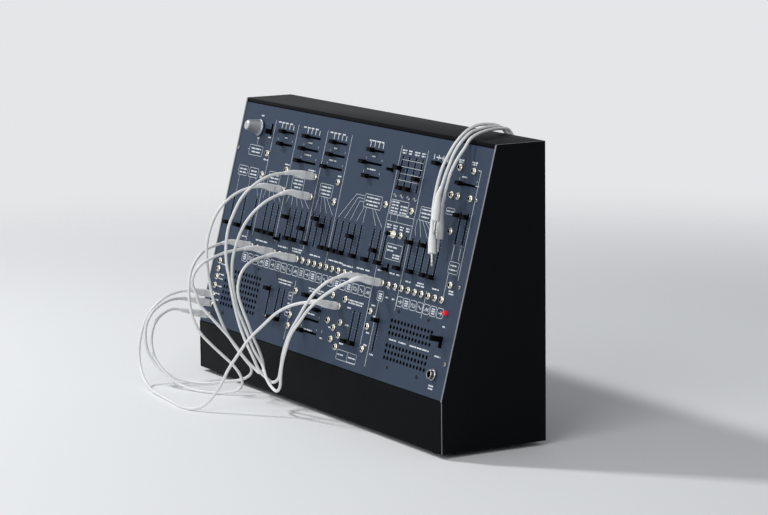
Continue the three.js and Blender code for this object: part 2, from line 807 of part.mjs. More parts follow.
place(panelGroup, 'gain_knob', gainKnob(), blackPlastic());

// Levers of the slide switches
function switchLever(spec) {
  const [x, middle] = placeOf(spec.shares);
  const y = middle + (spec.raised ? spec.travel / 2 : -spec.travel / 2);
  const shoeSize = spec.leverLength + 2 * switchShoeMargin;
  const shoe = post([x, y], spec.slotWidth + 2 * switchShoeMargin, shoeSize, shoeBottom, shoeTop);
  const leverTop = panelFace + spec.leverHeight;
  const lever = post([x, y], spec.leverWidth, spec.leverLength, shoeTop - overrun, leverTop);
  return geometryOf(joined([shoe, lever]));
}

for (const [name, spec] of Object.entries(switches)) {
  place(panelGroup, name, switchLever(spec), blackPlastic());
}

// Push button
function gateButton() {
  const capFoot = panelFace + buttonCollarHeight + buttonTravel + gap;
  const profile = [
    [0, panelFace - buttonShaftDepth],
    [buttonShaftRadius, panelFace - buttonShaftDepth],
    [buttonShaftRadius, capFoot],
    [buttonCapRadius, capFoot],
    [buttonCapRadius, capFoot + buttonCapHeight],
    [0, capFoot + buttonCapHeight],
  ];
  return turned(profile, buttonSides).translate(buttonPlace[0], buttonPlace[1], 0);
}

place(panelGroup, 'gate_button', gateButton(), blackPlastic());

// Headphone socket, held by its nut
function headphoneJack() {
  const bodyTop = panelBack - gap;
  const nutBottom = panelFace + gap;
  const body = post(phonePlace, phoneBodyWidth, phoneBodyWidth, bodyTop - phoneBodyDepth, bodyTop);
  const barrel = prism(phonePlace, phoneBarrelRadius, phoneSides, bodyTop - overrun, nutBottom + overrun);
  const nut = prism(phonePlace, phoneNutRadius, phoneSides, nutBottom, nutBottom + phoneNutHeight);
  const boreRadius = cornerRadius(phoneBoreFlats, phoneSides);
  const boreTop = nutBottom + phoneNutHeight + overrun;
  const bore = prism(phonePlace, boreRadius, phoneSides, panelFace - phoneBoreDepth, boreTop);
  return geometryOf(joined([body, barrel, nut]).subtract(solidOf(bore)));
}

place(panelGroup, 'headphone_jack', headphoneJack(), paleSteel());

// Power lamp, standing on the board
function powerLed() {
  const profile = [
    [0, boardFace + gap],
    [lampRadius, boardFace + gap],
    [lampRadius, panelFace + gap],
    [lampRadius * Math.SQRT1_2, panelFace + gap + lampDomeHeight * Math.SQRT1_2],
    [0, panelFace + gap + lampDomeHeight],
  ];
  return turned(profile, lampSides).translate(lampPlace[0], lampPlace[1], 0);
}

place(panelGroup, 'power_led', powerLed(), finish(0xb02a1c, 0.4, 0));

// Loudspeakers behind the panel
function loudspeaker(at) {
  const top = panelBack - gap;
  const coneBottom = top - speakerDepth + speakerMagnetDepth;
  const frame = post(at, speakerFrameWidth, speakerFrameWidth, top - speakerFrameThickness, top);
  const profile = [
    [0, top - speakerDepth],
    [speakerMagnetRadius, top - speakerDepth],
    [speakerMagnetRadius, coneBottom],
    [speakerConeRadius, top - speakerFrameThickness / 2],
    [0, top - speakerFrameThickness / 2],
  ];
  const basket = turned(profile, speakerSides).translate(at[0], at[1], 0);
  return geometryOf(joined([frame, basket]));
}

for (const [side, shares] of Object.entries(speakerShares)) {
  place(panelGroup, `speaker_${side}`, loudspeaker(placeOf(shares)), finish(0x202225, 0.6, 0.3));
}

// Spring tank: a shallow tray, open to the back plate that it is screwed to
const tankBack = caseDepth - backThickness - gap;
const tankX = [-tankWidth / 2, tankWidth / 2];
const tankBlock = block(tankX, [tankBack - tankDepth, tankBack], [tankLift, tankLift + tankHeight]);
const tankInside = block(
  [-tankWidth / 2 + tankWall, tankWidth / 2 - tankWall],
  [tankBack - tankDepth + tankWall, tankBack + overrun],
  [tankLift + tankWall, tankLift + tankHeight - tankWall],
);
const tank = geometryOf(solidOf(tankBlock).subtract(solidOf(tankInside)));
place(caseGroup, 'reverb_tank', tank, paleSteel());

// Power supply and its inlet
function powerSupply() {
  const back = caseDepth - backThickness - gap;
  const supplyAcross = [supplyX - supplyWidth / 2, supplyX + supplyWidth / 2];
  const levels = [supplyBottom, supplyBottom + supplyHeight];
  const body = block(supplyAcross, [back - supplyDepth, back], levels);
  const inletAcross = [supplyX - inletWidth / 2, supplyX + inletWidth / 2];
  const inletLevels = [inletZ - inletHeight / 2, inletZ + inletHeight / 2];
  const inlet = block(inletAcross, [back - overrun, caseDepth], inletLevels);
  const cavity = block(
    [inletAcross[0] + inletWall, inletAcross[1] - inletWall],
    [caseDepth - inletCavityDepth, caseDepth + overrun],
    [inletLevels[0] + inletWall, inletLevels[1] - inletWall],
  );
  return geometryOf(joined([body, inlet]).subtract(solidOf(cavity)));
}

place(caseGroup, 'power_supply', powerSupply(), finish(0x26282b, 0.5, 0.4));

// Cords. A plug stands on its socket at height zero and points along its axis.
function plug(foot, axis) {
  const bodyTop = plugBodyLift + plugBodyLength;
  const profile = [
    [0, plugBodyLift - plugTipLength],
    [plugTipRadius, plugBodyLift - plugTipLength],
    [plugTipRadius, plugBodyLift],
    [plugBodyRadius, plugBodyLift],
    [plugBodyRadius, bodyTop],
    [plugReliefRadius, bodyTop],
    [plugReliefEndRadius, bodyTop + plugReliefLength],
    [0, bodyTop + plugReliefLength],
  ];
  const turn = new Quaternion().setFromUnitVectors(new Vector3(0, 0, 1), axis);
  const body = turned(profile, plugSides, flatTurn(plugSides));
  return body.applyQuaternion(turn).translate(foot.x, foot.y, foot.z);
}

function cord(name) {
  const points = cordRoutes[name].map(([x, y, z]) => new Vector3(x, y, z));
  const path = new CatmullRomCurve3(points, false, 'centripetal');
  const section = regularPath(new Shape(), [0, 0], cordRadius, cordSides);
  const steps = Math.round(path.getLength() / cordStep);
  const tube = new ExtrudeGeometry(section, { steps, extrudePath: path, bevelEnabled: false });
  const ends = [[points[0], points[1]], [points.at(-1), points.at(-2)]];
  const plugs = ends.map(([last, next], end) => {
    const socket = cordSockets[name]?.[end];
    if (socket) {
      const [x, y] = socketPlaces[socket];
      const foot = new Vector3(x, y, 0).applyMatrix4(panelMatrix);
      return plug(foot, new Vector3(0, 0, 1).transformDirection(panelMatrix));
    }
    const axis = new Vector3().subVectors(next, last).normalize();
    const length = plugBodyLift + plugBodyLength + plugReliefLength;
    return plug(next.clone().addScaledVector(axis, -length), axis);
  });
  return geometryOf(joined([tube, ...plugs]));
}

const cordMeshes = Object.keys(cordRoutes).map((name) => {
  return place(caseGroup, name, cord(name), whitePlastic());
});

// Stand the case on its feet, with the middle of all but the cords over the origin
const bodyBox = new Box3();
caseGroup.updateMatrixWorld(true);
caseGroup.traverse((node) => {
  if (node.isMesh && !cordMeshes.includes(node)) {
    bodyBox.expandByObject(node, true);
  }
});
const middle = bodyBox.getCenter(new Vector3());
caseGroup.position.set(-middle.x, -middle.y, -bodyBox.min.z);

const synthesizer = new Group();
synthesizer.add(caseGroup);

export default synthesizer;
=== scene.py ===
"""Looks of a desktop modular synthesizer with a leaning panel and white patch cords.

Every length is in metres unless its name says otherwise. The panel's own frame has its
origin at the lower middle of the leaning plane, X to the right, Y up the slope and Z
outwards.
"""

import logging
import math
from dataclasses import dataclass, field
from enum import Enum
from typing import Iterable, Sequence

import bmesh
import bpy
from bmesh.types import BMEdge, BMesh, BMFace, BMVert
from bpy.types import Object
from mathutils import Matrix, Vector
from mathutils.geometry import interpolate_bezier


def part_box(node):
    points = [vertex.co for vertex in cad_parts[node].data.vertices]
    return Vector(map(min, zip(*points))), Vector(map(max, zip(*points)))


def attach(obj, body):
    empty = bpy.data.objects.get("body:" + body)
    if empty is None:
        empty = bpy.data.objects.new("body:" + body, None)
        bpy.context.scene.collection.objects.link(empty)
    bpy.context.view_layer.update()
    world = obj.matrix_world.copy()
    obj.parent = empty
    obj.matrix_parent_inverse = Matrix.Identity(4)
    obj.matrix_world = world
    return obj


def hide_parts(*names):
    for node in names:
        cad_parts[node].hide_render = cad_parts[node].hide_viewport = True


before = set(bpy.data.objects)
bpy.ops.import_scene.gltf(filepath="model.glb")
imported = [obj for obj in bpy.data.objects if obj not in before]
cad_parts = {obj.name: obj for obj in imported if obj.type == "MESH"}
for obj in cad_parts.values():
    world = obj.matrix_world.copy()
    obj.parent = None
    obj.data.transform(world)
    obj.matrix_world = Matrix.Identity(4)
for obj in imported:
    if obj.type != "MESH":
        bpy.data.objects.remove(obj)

Pair = tuple[float, float]
LOG = logging.getLogger("synthesizer")
MM = 0.001
WELD = 1e-6  # points closer than this are one point
TINY = 1e-9  # keeps a division away from nought
SMOOTH_ANGLE = math.radians(35)
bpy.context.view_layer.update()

# Heights over the panel's plane that several pieces share
SHEET_FACE = -0.6 * MM
BODY_TOP = -2.9 * MM
SHOE_TOP = -5.3 * MM
SHOE_BOTTOM = -7.3 * MM
TRACK_TOP = -7.6 * MM
BOARD_FACE = -14.6 * MM


# Colours and materials

def linear(code: str) -> tuple[float, float, float, float]:
    """Turn an sRGB hex colour into linear light.

    Args:
        code: six hex digits, with or without a hash mark.

    Returns:
        Red, green, blue and alpha for a shader socket.
    """
    digits = code.lstrip("#")
    parts = [int(digits[place:place + 2], 16) / 255 for place in (0, 2, 4)]
    light = [part / 12.92 if part <= 0.04045 else ((part + 0.055) / 1.055) ** 2.4 for part in parts]
    return (*light, 1.0)


def add_node(
    material: bpy.types.Material | bpy.types.World,
    kind: str,
    settings: dict[str, object] | None = None,
    inputs: dict[str | int, object] | None = None,
) -> bpy.types.Node:
    """Add a shader node with its settings and links.

    Args:
        material: the material or world whose node tree grows.
        kind: Blender's name of the node type.
        settings: attributes of the node by name.
        inputs: socket values by name or number, or an output socket to link from.

    Returns:
        The new node.
    """
    tree = material.node_tree
    node = tree.nodes.new(kind)
    for name, value in (settings or {}).items():
        setattr(node, name, value)
    for name, value in (inputs or {}).items():
        if isinstance(value, bpy.types.NodeSocket):
            tree.links.new(value, node.inputs[name])
        else:
            node.inputs[name].default_value = value
    return node


@dataclass(frozen=True)
class Finish:
    """A finish with a fine grain in its colour, gloss and relief, and faint clouds in its colour.

    A grain that would be too fine to show in the render is drawn coarser than the real one.
    """

    name: str
    colour: str
    shade: str
    roughness: float
    spread: float
    metallic: float
    grain_mm: float
    relief_mm: float
    ior: float = 1.5
    specular: float = 0.5
    glow: float = 0.0
    grain_detail: float = 3.0
    grain_share: float = 0.5
    cloud_mm: float = 60.0
    cloud_detail: float = 2.0
    cloud_share: float = 0.35

    def build(self) -> bpy.types.Material:
        """Make the material once, and find it again after that.

        Returns:
            The material.
        """
        found = bpy.data.materials.get(self.name)
        if found:
            return found
        material = bpy.data.materials.new(self.name)
        material.use_nodes = True
        material.node_tree.nodes.clear()
        place = add_node(material, "ShaderNodeTexCoord")
        grain = add_node(
            material,
            "ShaderNodeTexNoise",
            inputs={
                "Vector": place.outputs["Object"],
                "Scale": 1 / (self.grain_mm * MM),
                "Detail": self.grain_detail,
            },
        )
        cloud = add_node(
            material,
            "ShaderNodeTexNoise",
            inputs={
                "Vector": place.outputs["Object"],
                "Scale": 1 / (self.cloud_mm * MM),
                "Detail": self.cloud_detail,
            },
        )
        rest = (1 - self.grain_share - self.cloud_share) / 2
        blend = add_node(
            material,
            "ShaderNodeMath",
            {"operation": "MULTIPLY_ADD"},
            {0: cloud.outputs["Fac"], 1: self.cloud_share, 2: rest},
        )
        both = add_node(
            material,
            "ShaderNodeMath",
            {"operation": "MULTIPLY_ADD", "use_clamp": True},
            {0: grain.outputs["Fac"], 1: self.grain_share, 2: blend.outputs["Value"]},
        )
        tint = add_node(
            material,
            "ShaderNodeMix",
            {"data_type": "RGBA"},
            {"Factor": both.outputs["Value"], "A": linear(self.shade), "B": linear(self.colour)},
        )
        gloss = add_node(
            material,
            "ShaderNodeMapRange",
            inputs={
                "Value": grain.outputs["Fac"],
                "To Min": self.roughness - self.spread,
                "To Max": self.roughness + self.spread,
            },
        )
        bump = add_node(
            material,
            "ShaderNodeBump",
            inputs={
                "Height": grain.outputs["Fac"],
                "Distance": self.relief_mm * MM,
                "Strength": 1.0,
            },
        )
        shader = add_node(
            material,
            "ShaderNodeBsdfPrincipled",
            inputs={
                "Base Color": tint.outputs["Result"],
                "Metallic": self.metallic,
                "Roughness": gloss.outputs["Result"],
                "IOR": self.ior,
                "Normal": bump.outputs["Normal"],
                "Specular IOR Level": self.specular,
                "Emission Color": linear(self.colour),
                "Emission Strength": self.glow,
            },
        )
        add_node(material, "ShaderNodeOutputMaterial", inputs={"Surface": shader.outputs["BSDF"]})
        return material


# Powder-coated steel sheet, baked: an even black with a fine orange peel that widens glints
POWDER_COAT = Finish(
    "powder_coated_steel", "#0f1113", "#0b0c0e", 0.55, 0.05, 0.0, 0.9, 0.012, specular=0.04
)
# A pale satin line on the same coat along the cheeks' rounded edges: a painted highlight
PAINTED_EDGE_HIGHLIGHT = Finish(
    "painted_highlight_steel_edge", "#8e9094", "#6b6e73", 0.36, 0.06, 0.3, 0.8, 0.006, cloud_mm=14.0
)
# Satin stove enamel on aluminium sheet: a blue-grey face with a faint cloudiness
PANEL_ENAMEL = Finish(
    "stove_enamelled_aluminium", "#384558", "#303c4e", 0.42, 0.05, 0.0, 0.7, 0.008, specular=0.12
)
# Painted shade on the walls of that sheet's holes and slots and on its outer edges: near-black, so
# that holes read dark
PAINTED_SHADE_IN_HOLES = Finish(
    "painted_shade_hole_walls", "#0c0d0f", "#070809", 0.7, 0.05, 0.0, 0.5, 0.01, specular=0.05
)
# Screen-printed epoxy ink: slightly broken white with soft gloss
SCREEN_INK = Finish("screen_printed_ink", "#e6ebef", "#cfd6dc", 0.5, 0.06, 0.0, 0.5, 0.004)
# Moulded ABS, spark-eroded mould: near-black with a dull sheen
MOULDED_CAP = Finish("moulded_abs", "#090a0b", "#050606", 0.6, 0.06, 0.0, 0.5, 0.01, specular=0.04)
# The tall knob's turned metal: bright where the light falls on it, dark on the other side
TURNED_METAL = Finish("satin_turned_metal", "#a5a8ac", "#8b8e93", 0.42, 0.05, 1.0, 0.5, 0.003)
# Extruded soft PVC jacket: warm white, smooth, a little dull from handling
CORD_JACKET = Finish("extruded_pvc_jacket", "#eeefee", "#dfe0e0", 0.42, 0.06, 0.0, 2.5, 0.01)
# Moulded soft PVC of the plugs: the same white with a slight gloss
PLUG_MOULDING = Finish("moulded_pvc_plug", "#f2f3f3", "#e6e7e7", 0.36, 0.05, 0.0, 1.2, 0.01)
# Nickel plate on turned brass: pale, with turning marks
NICKEL_PLATE = Finish("nickel_plated_brass", "#b4b3b0", "#918f8b", 0.22, 0.06, 1.0, 0.4, 0.004)
# Gold chromate on the turned nuts of the sockets: a pale warm shine
SOCKET_NUT = Finish("gold_chromated_nut", "#f1efe8", "#d6d1c1", 0.24, 0.07, 1.0, 0.6, 0.006)
# Black oxide on small steel screws: dark grey with soft glints
SCREW_BLACK = Finish("black_oxide_screw", "#34373c", "#222428", 0.4, 0.08, 0.9, 0.4, 0.006)
# Moulded rubber of the feet: a matt, slightly grey black
FOOT_RUBBER = Finish("moulded_rubber", "#131313", "#0c0c0c", 0.8, 0.06, 0.0, 0.6, 0.02)
# Solder mask over woven glass laminate: dark green with a weave
SOLDER_MASK = Finish("solder_masked_laminate", "#1d4a30", "#173c27", 0.35, 0.05, 0.0, 0.6, 0.006)
# Moulded acrylic with a diffuser, of the lamp: an even red, faintly lit
LAMP_LENS = Finish(
    "diffused_acrylic_lens", "#e0222c", "#c81420", 0.12, 0.03, 0.0, 0.8, 0.002, glow=0.4
)
# Pressed paper of the loudspeaker cones: matt and fibrous, nearly black
CONE_PAPER = Finish("pressed_cone_paper", "#1b1c1e", "#121314", 0.85, 0.05, 0.0, 0.8, 0.03)
# Zinc-plated sheet of the tank and the switches: bright grey with a broad spangle
ZINC_SHEET = Finish("zinc_plated_sheet", "#b6b9b8", "#8f9391", 0.34, 0.08, 1.0, 3.0, 0.006)
# Moulded glass-filled nylon of the supply's housing: black, a little uneven
SUPPLY_CASE = Finish(
    "glass_filled_nylon", "#101113", "#0b0c0d", 0.6, 0.06, 0.0, 0.7, 0.015, specular=0.25
)
# Spun aluminium disc on the tall knob: bright, with a fine grain
SPUN_DISC = Finish("spun_aluminium", "#e2e4e6", "#c3c6c9", 0.3, 0.06, 1.0, 0.5, 0.004)


# Mesh helpers

def new_piece(
    name: str,
    bm: BMesh,
    finish: Finish,
    body: str = "case",
    smooth: bool = True,
) -> Object:
    """Turn a bmesh in the row frame into a dressed piece that rides on a body.

    Args:
        name: the piece's name.
        bm: its shape, which is freed.
        finish: what it is made of.
        body: the CAD body that carries it.
        smooth: whether faces are shaded smooth up to SMOOTH_ANGLE.

    Returns:
        The object.
    """
    mesh = bpy.data.meshes.new(name)
    if smooth:
        shade_by_angle(bm, SMOOTH_ANGLE)
    bm.to_mesh(mesh)
    bm.free()
    mesh.materials.append(finish.build())
    piece = bpy.data.objects.new(name, mesh)
    bpy.context.scene.collection.objects.link(piece)
    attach(piece, body)
    return piece


def shade_by_angle(bm: BMesh, limit: float) -> None:
    """Shade faces smooth and keep edges sharp past an angle.

    Args:
        bm: the shape.
        limit: the angle in radians.
    """
    for face in bm.faces:
        face.smooth = True
    for edge in bm.edges:
        edge.smooth = len(edge.link_faces) == 2 and edge.calc_face_angle(0.0) < limit


def round_edges(
    bm: BMesh,
    edges: Iterable[BMEdge],
    width: float,
    segments: int = 2,
    clamp: bool = False,
) -> None:
    """Round edges of a shape.

    Args:
        bm: the shape.
        edges: the edges to round.
        width: width of the rounding.
        segments: steps in the rounding.
        clamp: whether it stays narrower where two roundings would meet.
    """
    bmesh.ops.bevel(
        bm,
        geom=list(edges),
        offset=width,
        affect="EDGES",
        segments=segments,
        profile=0.5,
        material=-1,
        clamp_overlap=clamp,
    )


def add_box(
    bm: BMesh, low: Sequence[float], high: Sequence[float], bevel: float = 0.0
) -> None:
    """Add a box between two corners, with rounded edges where asked.

    Args:
        bm: the shape that grows.
        low: lowest corner.
        high: highest corner.
        bevel: width of the edge rounding.
    """
    low, high = Vector(low), Vector(high)
    matrix = Matrix.Translation((low + high) / 2) @ Matrix.Diagonal((*(high - low), 1))
    made = bmesh.ops.create_cube(bm, size=1, matrix=matrix)["verts"]
    if bevel > 0:
        round_edges(bm, {edge for vert in made for edge in vert.link_edges}, bevel)


def turned(
    profile: Sequence[Pair], steps: int, stand: Matrix | None = None, closed: bool = False
) -> BMesh:
    """Spin a profile of radius and height about Z, and close it where it meets the axis.

    Args:
        profile: points of radius and height.
        steps: number of steps in the full turn.
        stand: where the shape goes.
        closed: whether the profile's last point joins its first, as in a ring.

    Returns:
        The shape.
    """
    part = bmesh.new()
    points = [part.verts.new((radius, 0, height)) for radius, height in profile]
    follow = points[1:] + points[:1] if closed else points[1:]
    edges = [part.edges.new(pair) for pair in zip(points, follow)]
    bmesh.ops.spin(
        part,
        geom=[*points, *edges],
        cent=(0, 0, 0),
        axis=(0, 0, 1),
        angle=2 * math.pi,
        steps=steps,
        use_merge=True,
    )
    bmesh.ops.remove_doubles(part, verts=part.verts, dist=1e-7)
    bmesh.ops.recalc_face_normals(part, faces=part.faces)
    return placed(part, stand or Matrix())


def stamp(bm: BMesh, part: BMesh, matrices: Iterable[Matrix]) -> None:
    """Copy a shape into another once for each matrix, and free it.

    Args:
        bm: the shape that grows.
        part: the shape to copy.
        matrices: where the copies go.
    """
    mesh = bpy.data.meshes.new("stamp")
    part.to_mesh(mesh)
    part.free()
    for matrix in matrices:
        copy = mesh.copy()
        copy.transform(matrix)
        bm.from_mesh(copy)
        bpy.data.meshes.remove(copy)
    bpy.data.meshes.remove(mesh)


def placed(part: BMesh, stand: Matrix) -> BMesh:
    """Move a shape to its stand.

    Args:
        part: the shape, which is freed.
        stand: where it goes.

    Returns:
        The moved shape.
    """
    bm = bmesh.new()
    stamp(bm, part, [stand])
    return bm


def fluted(verts: Iterable[BMVert], teeth: int, share: float) -> None:
    """Draw every second point of a turned shape in towards its axis.

    Args:
        verts: the points on its flank.
        teeth: number of teeth around it.
        share: what is left of the radius between two teeth.
    """
    for vert in verts:
        if round(math.atan2(vert.co.y, vert.co.x) / math.pi * teeth) % 2:
            vert.co.x *= share
            vert.co.y *= share


def copied(node: str) -> BMesh:
    """Copy a CAD node, with its loose triangles joined.

    Args:
        node: the CAD node's name.

    Returns:
        The copy as a bmesh in the row frame.
    """
    bm = bmesh.new()
    bm.from_mesh(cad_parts[node].data)
    bmesh.ops.remove_doubles(bm, verts=bm.verts, dist=WELD)
    return bm


def softened(
    node: str, width: float, flat: float = math.radians(1), sharp: float = 0.5
) -> BMesh:
    """Copy a CAD node with its edges rounded.

    Args:
        node: the CAD node's name.
        width: width of the rounding.
        flat: angle under which two faces are one.
        sharp: angle over which an edge is rounded.

    Returns:
        The copy as a bmesh in the row frame.
    """
    bm = copied(node)
    bmesh.ops.dissolve_limit(bm, angle_limit=flat, verts=bm.verts, edges=bm.edges)
    inner = [edge for edge in bm.edges if len(edge.link_faces) == 2]
    rims = [edge for edge in inner if edge.calc_face_angle(0.0) > sharp]
    round_edges(bm, rims, width, clamp=True)
    return bm


# The leaning plane of the panel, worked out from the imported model

@dataclass(frozen=True)
class PanelPlane:
    """The plane through the cheeks' front edges, and places on it."""

    foot: Vector
    slope: Vector
    normal: Vector
    width: float
    length: float

    @classmethod
    def from_frame(cls) -> "PanelPlane":
        """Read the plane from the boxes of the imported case.

        Returns:
            The plane.
        """
        left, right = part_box("side_panel_left"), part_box("side_panel_right")
        tray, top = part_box("base_tray"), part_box("top_panel")
        foot = Vector((0, tray[0].y, tray[1].z))
        rise = Vector((0, top[0].y, top[1].z)) - foot
        slope = rise.normalized()
        return cls(foot, slope, Vector((1, 0, 0)).cross(slope), right[1].x - left[0].x, rise.length)

    @property
    def matrix(self) -> Matrix:
        """The panel's frame as a matrix."""
        turn = Matrix((Vector((1, 0, 0)), self.slope, self.normal)).transposed().to_4x4()
        return Matrix.Translation(self.foot) @ turn

    def place(self, x_share: float, y_share: float, height: float = 0.0) -> Vector:
        """Give a place on the panel from shares of its width and slope length.

        Args:
            x_share: share of the width from the left.
            y_share: share of the slope length from the foot.
            height: distance outwards from the plane.

        Returns:
            The place in the panel's frame.
        """
        return Vector((x_share * self.width - self.width / 2, y_share * self.length, height))

    def stand(self, x_share: float, y_share: float, height: float = 0.0) -> Matrix:
        """Give the matrix that stands a part on the panel, in the row frame."""
        return self.matrix @ Matrix.Translation(self.place(x_share, y_share, height))

    def at(self, x_share: float, rise: float, height: float = 0.0) -> Matrix:
        """Give the same from a rise up the slope that is a share of the panel's width."""
        return self.stand(x_share, rise * self.width / self.length, height)


PLANE = PanelPlane.from_frame()
CASE_SHIFT = Vector((0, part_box("base_tray")[0].y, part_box("base_tray")[0].z))


# Camera, lights and floor

@dataclass(frozen=True)
class Lamp:
    """A square lamp that looks at the object."""

    name: str
    power: float
    size: float
    place: tuple[float, float, float]
    aim: tuple[float, float, float] = (0.0, 0.0, 0.15)

    def build(self) -> None:
        """Hang the lamp."""
        data = bpy.data.lights.new(self.name, "AREA")
        data.energy = self.power
        data.size = self.size
        lamp = bpy.data.objects.new(self.name, data)
        bpy.context.scene.collection.objects.link(lamp)
        heading = Vector(self.aim) - Vector(self.place)
        turn = heading.to_track_quat("-Z", "Y").to_matrix().to_4x4()
        lamp.matrix_world = Matrix.Translation(self.place) @ turn


LAMPS = (
    Lamp("key_lamp", 33.0, 0.24, (-1.3, -1.05, 1.95)),
    Lamp("fill_lamp", 21.0, 1.6, (1.1, -1.9, 1.2)),
    Lamp("top_lamp", 4.0, 1.6, (0.5, -0.4, 2.3)),
)


@dataclass(frozen=True)
class Studio:
    """The camera of the photograph, plain soft light and a plain pale floor."""

    azimuth: float = math.radians(60.2549)
    elevation: float = math.radians(9.1971)
    roll: float = math.radians(-0.6331)
    distance: float = 3.4077
    target: tuple[float, float, float] = (-0.032262, 0.114, 0.157434)
    focal_px: float = 2956.96
    picture_px: tuple[int, int] = (768, 515)
    sensor_mm: float = 36.0
    far_end: float = 50.0
    light_colour: str = "#d9dce0"
    light_strength: float = 0.31
    backdrop_colour: str = "#e4e6e8"
    floor_size: float = 4.0
    floor_colour: str = "#f1f3f4"
    floor_roughness: float = 0.75
    floor_specular: float = 0.2
    fade_from: float = 0.75
    fade_to: float = 1.9

    def build(self) -> None:
        """Make the camera, the lamps, the world and the floor."""
        self.camera()
        for lamp in LAMPS:
            lamp.build()
        self.world()
        self.floor()

    def camera(self) -> None:
        """Place the camera where the photograph was taken from."""
        az, el = self.azimuth, self.elevation
        back = Vector((math.sin(az) * math.cos(el), -math.cos(az) * math.cos(el), math.sin(el)))
        right = Vector((math.cos(az), math.sin(az), 0))
        up = back.cross(right)
        turned_right = right * math.cos(self.roll) + up * math.sin(self.roll)
        turned_up = up * math.cos(self.roll) - right * math.sin(self.roll)
        data = bpy.data.cameras.new("camera")
        data.sensor_width = self.sensor_mm
        data.lens = self.focal_px / self.picture_px[0] * self.sensor_mm
        data.clip_end = self.far_end
        camera = bpy.data.objects.new("camera", data)
        bpy.context.scene.collection.objects.link(camera)
        turn = Matrix((turned_right, turned_up, back)).transposed().to_4x4()
        place = Vector(self.target) + CASE_SHIFT + back * self.distance
        camera.matrix_world = Matrix.Translation(place) @ turn
        bpy.context.scene.camera = camera

    def world(self) -> None:
        """Light the scene evenly, with a plain pale backdrop for the camera and reflections."""
        world = bpy.data.worlds.new("world")
        world.use_nodes = True
        world.node_tree.nodes.clear()
        path = add_node(world, "ShaderNodeLightPath")
        seen = path.outputs["Is Camera Ray"]
        for name in ("Is Glossy Ray", "Is Transmission Ray"):
            inputs = {0: seen, 1: path.outputs[name]}
            either = add_node(world, "ShaderNodeMath", {"operation": "MAXIMUM"}, inputs)
            seen = either.outputs["Value"]
        soft = add_node(
            world,
            "ShaderNodeBackground",
            inputs={"Color": linear(self.light_colour), "Strength": self.light_strength},
        )
        plain = add_node(
            world,
            "ShaderNodeBackground",
            inputs={"Color": linear(self.backdrop_colour), "Strength": 1.0},
        )
        mixed = add_node(
            world,
            "ShaderNodeMixShader",
            inputs={0: seen, 1: soft.outputs["Background"], 2: plain.outputs["Background"]},
        )
        add_node(world, "ShaderNodeOutputWorld", inputs={"Surface": mixed.outputs["Shader"]})
        bpy.context.scene.world = world

    def floor(self) -> None:
        """Lay a plain pale floor that fades into the backdrop away from the object."""
        bm = bmesh.new()
        bmesh.ops.create_grid(bm, x_segments=2, y_segments=2, size=self.floor_size / 2)
        material = bpy.data.materials.new("pale_painted_floor")
        material.use_nodes = True
        material.node_tree.nodes.clear()
        place = add_node(material, "ShaderNodeTexCoord")
        reach = add_node(
            material, "ShaderNodeVectorMath", {"operation": "LENGTH"}, {0: place.outputs["Object"]}
        )
        fade = add_node(
            material,
            "ShaderNodeMapRange",
            {"interpolation_type": "SMOOTHSTEP"},
            {"Value": reach.outputs["Value"], "From Min": self.fade_from, "From Max": self.fade_to},
        )
        shader = add_node(
            material,
            "ShaderNodeBsdfPrincipled",
            inputs={
                "Base Color": linear(self.floor_colour),
                "Roughness": self.floor_roughness,
                "Specular IOR Level": self.floor_specular,
            },
        )
        clear = add_node(material, "ShaderNodeBsdfTransparent")
        mixed = add_node(
            material,
            "ShaderNodeMixShader",
            inputs={0: fade.outputs["Result"], 1: shader.outputs["BSDF"], 2: clear.outputs["BSDF"]},
        )
        add_node(material, "ShaderNodeOutputMaterial", inputs={"Surface": mixed.outputs["Shader"]})
        mesh = bpy.data.meshes.new("floor")
        bm.to_mesh(mesh)
        bm.free()
        mesh.materials.append(material)
        floor = bpy.data.objects.new("floor", mesh)
        bpy.context.scene.collection.objects.link(floor)


# Cords

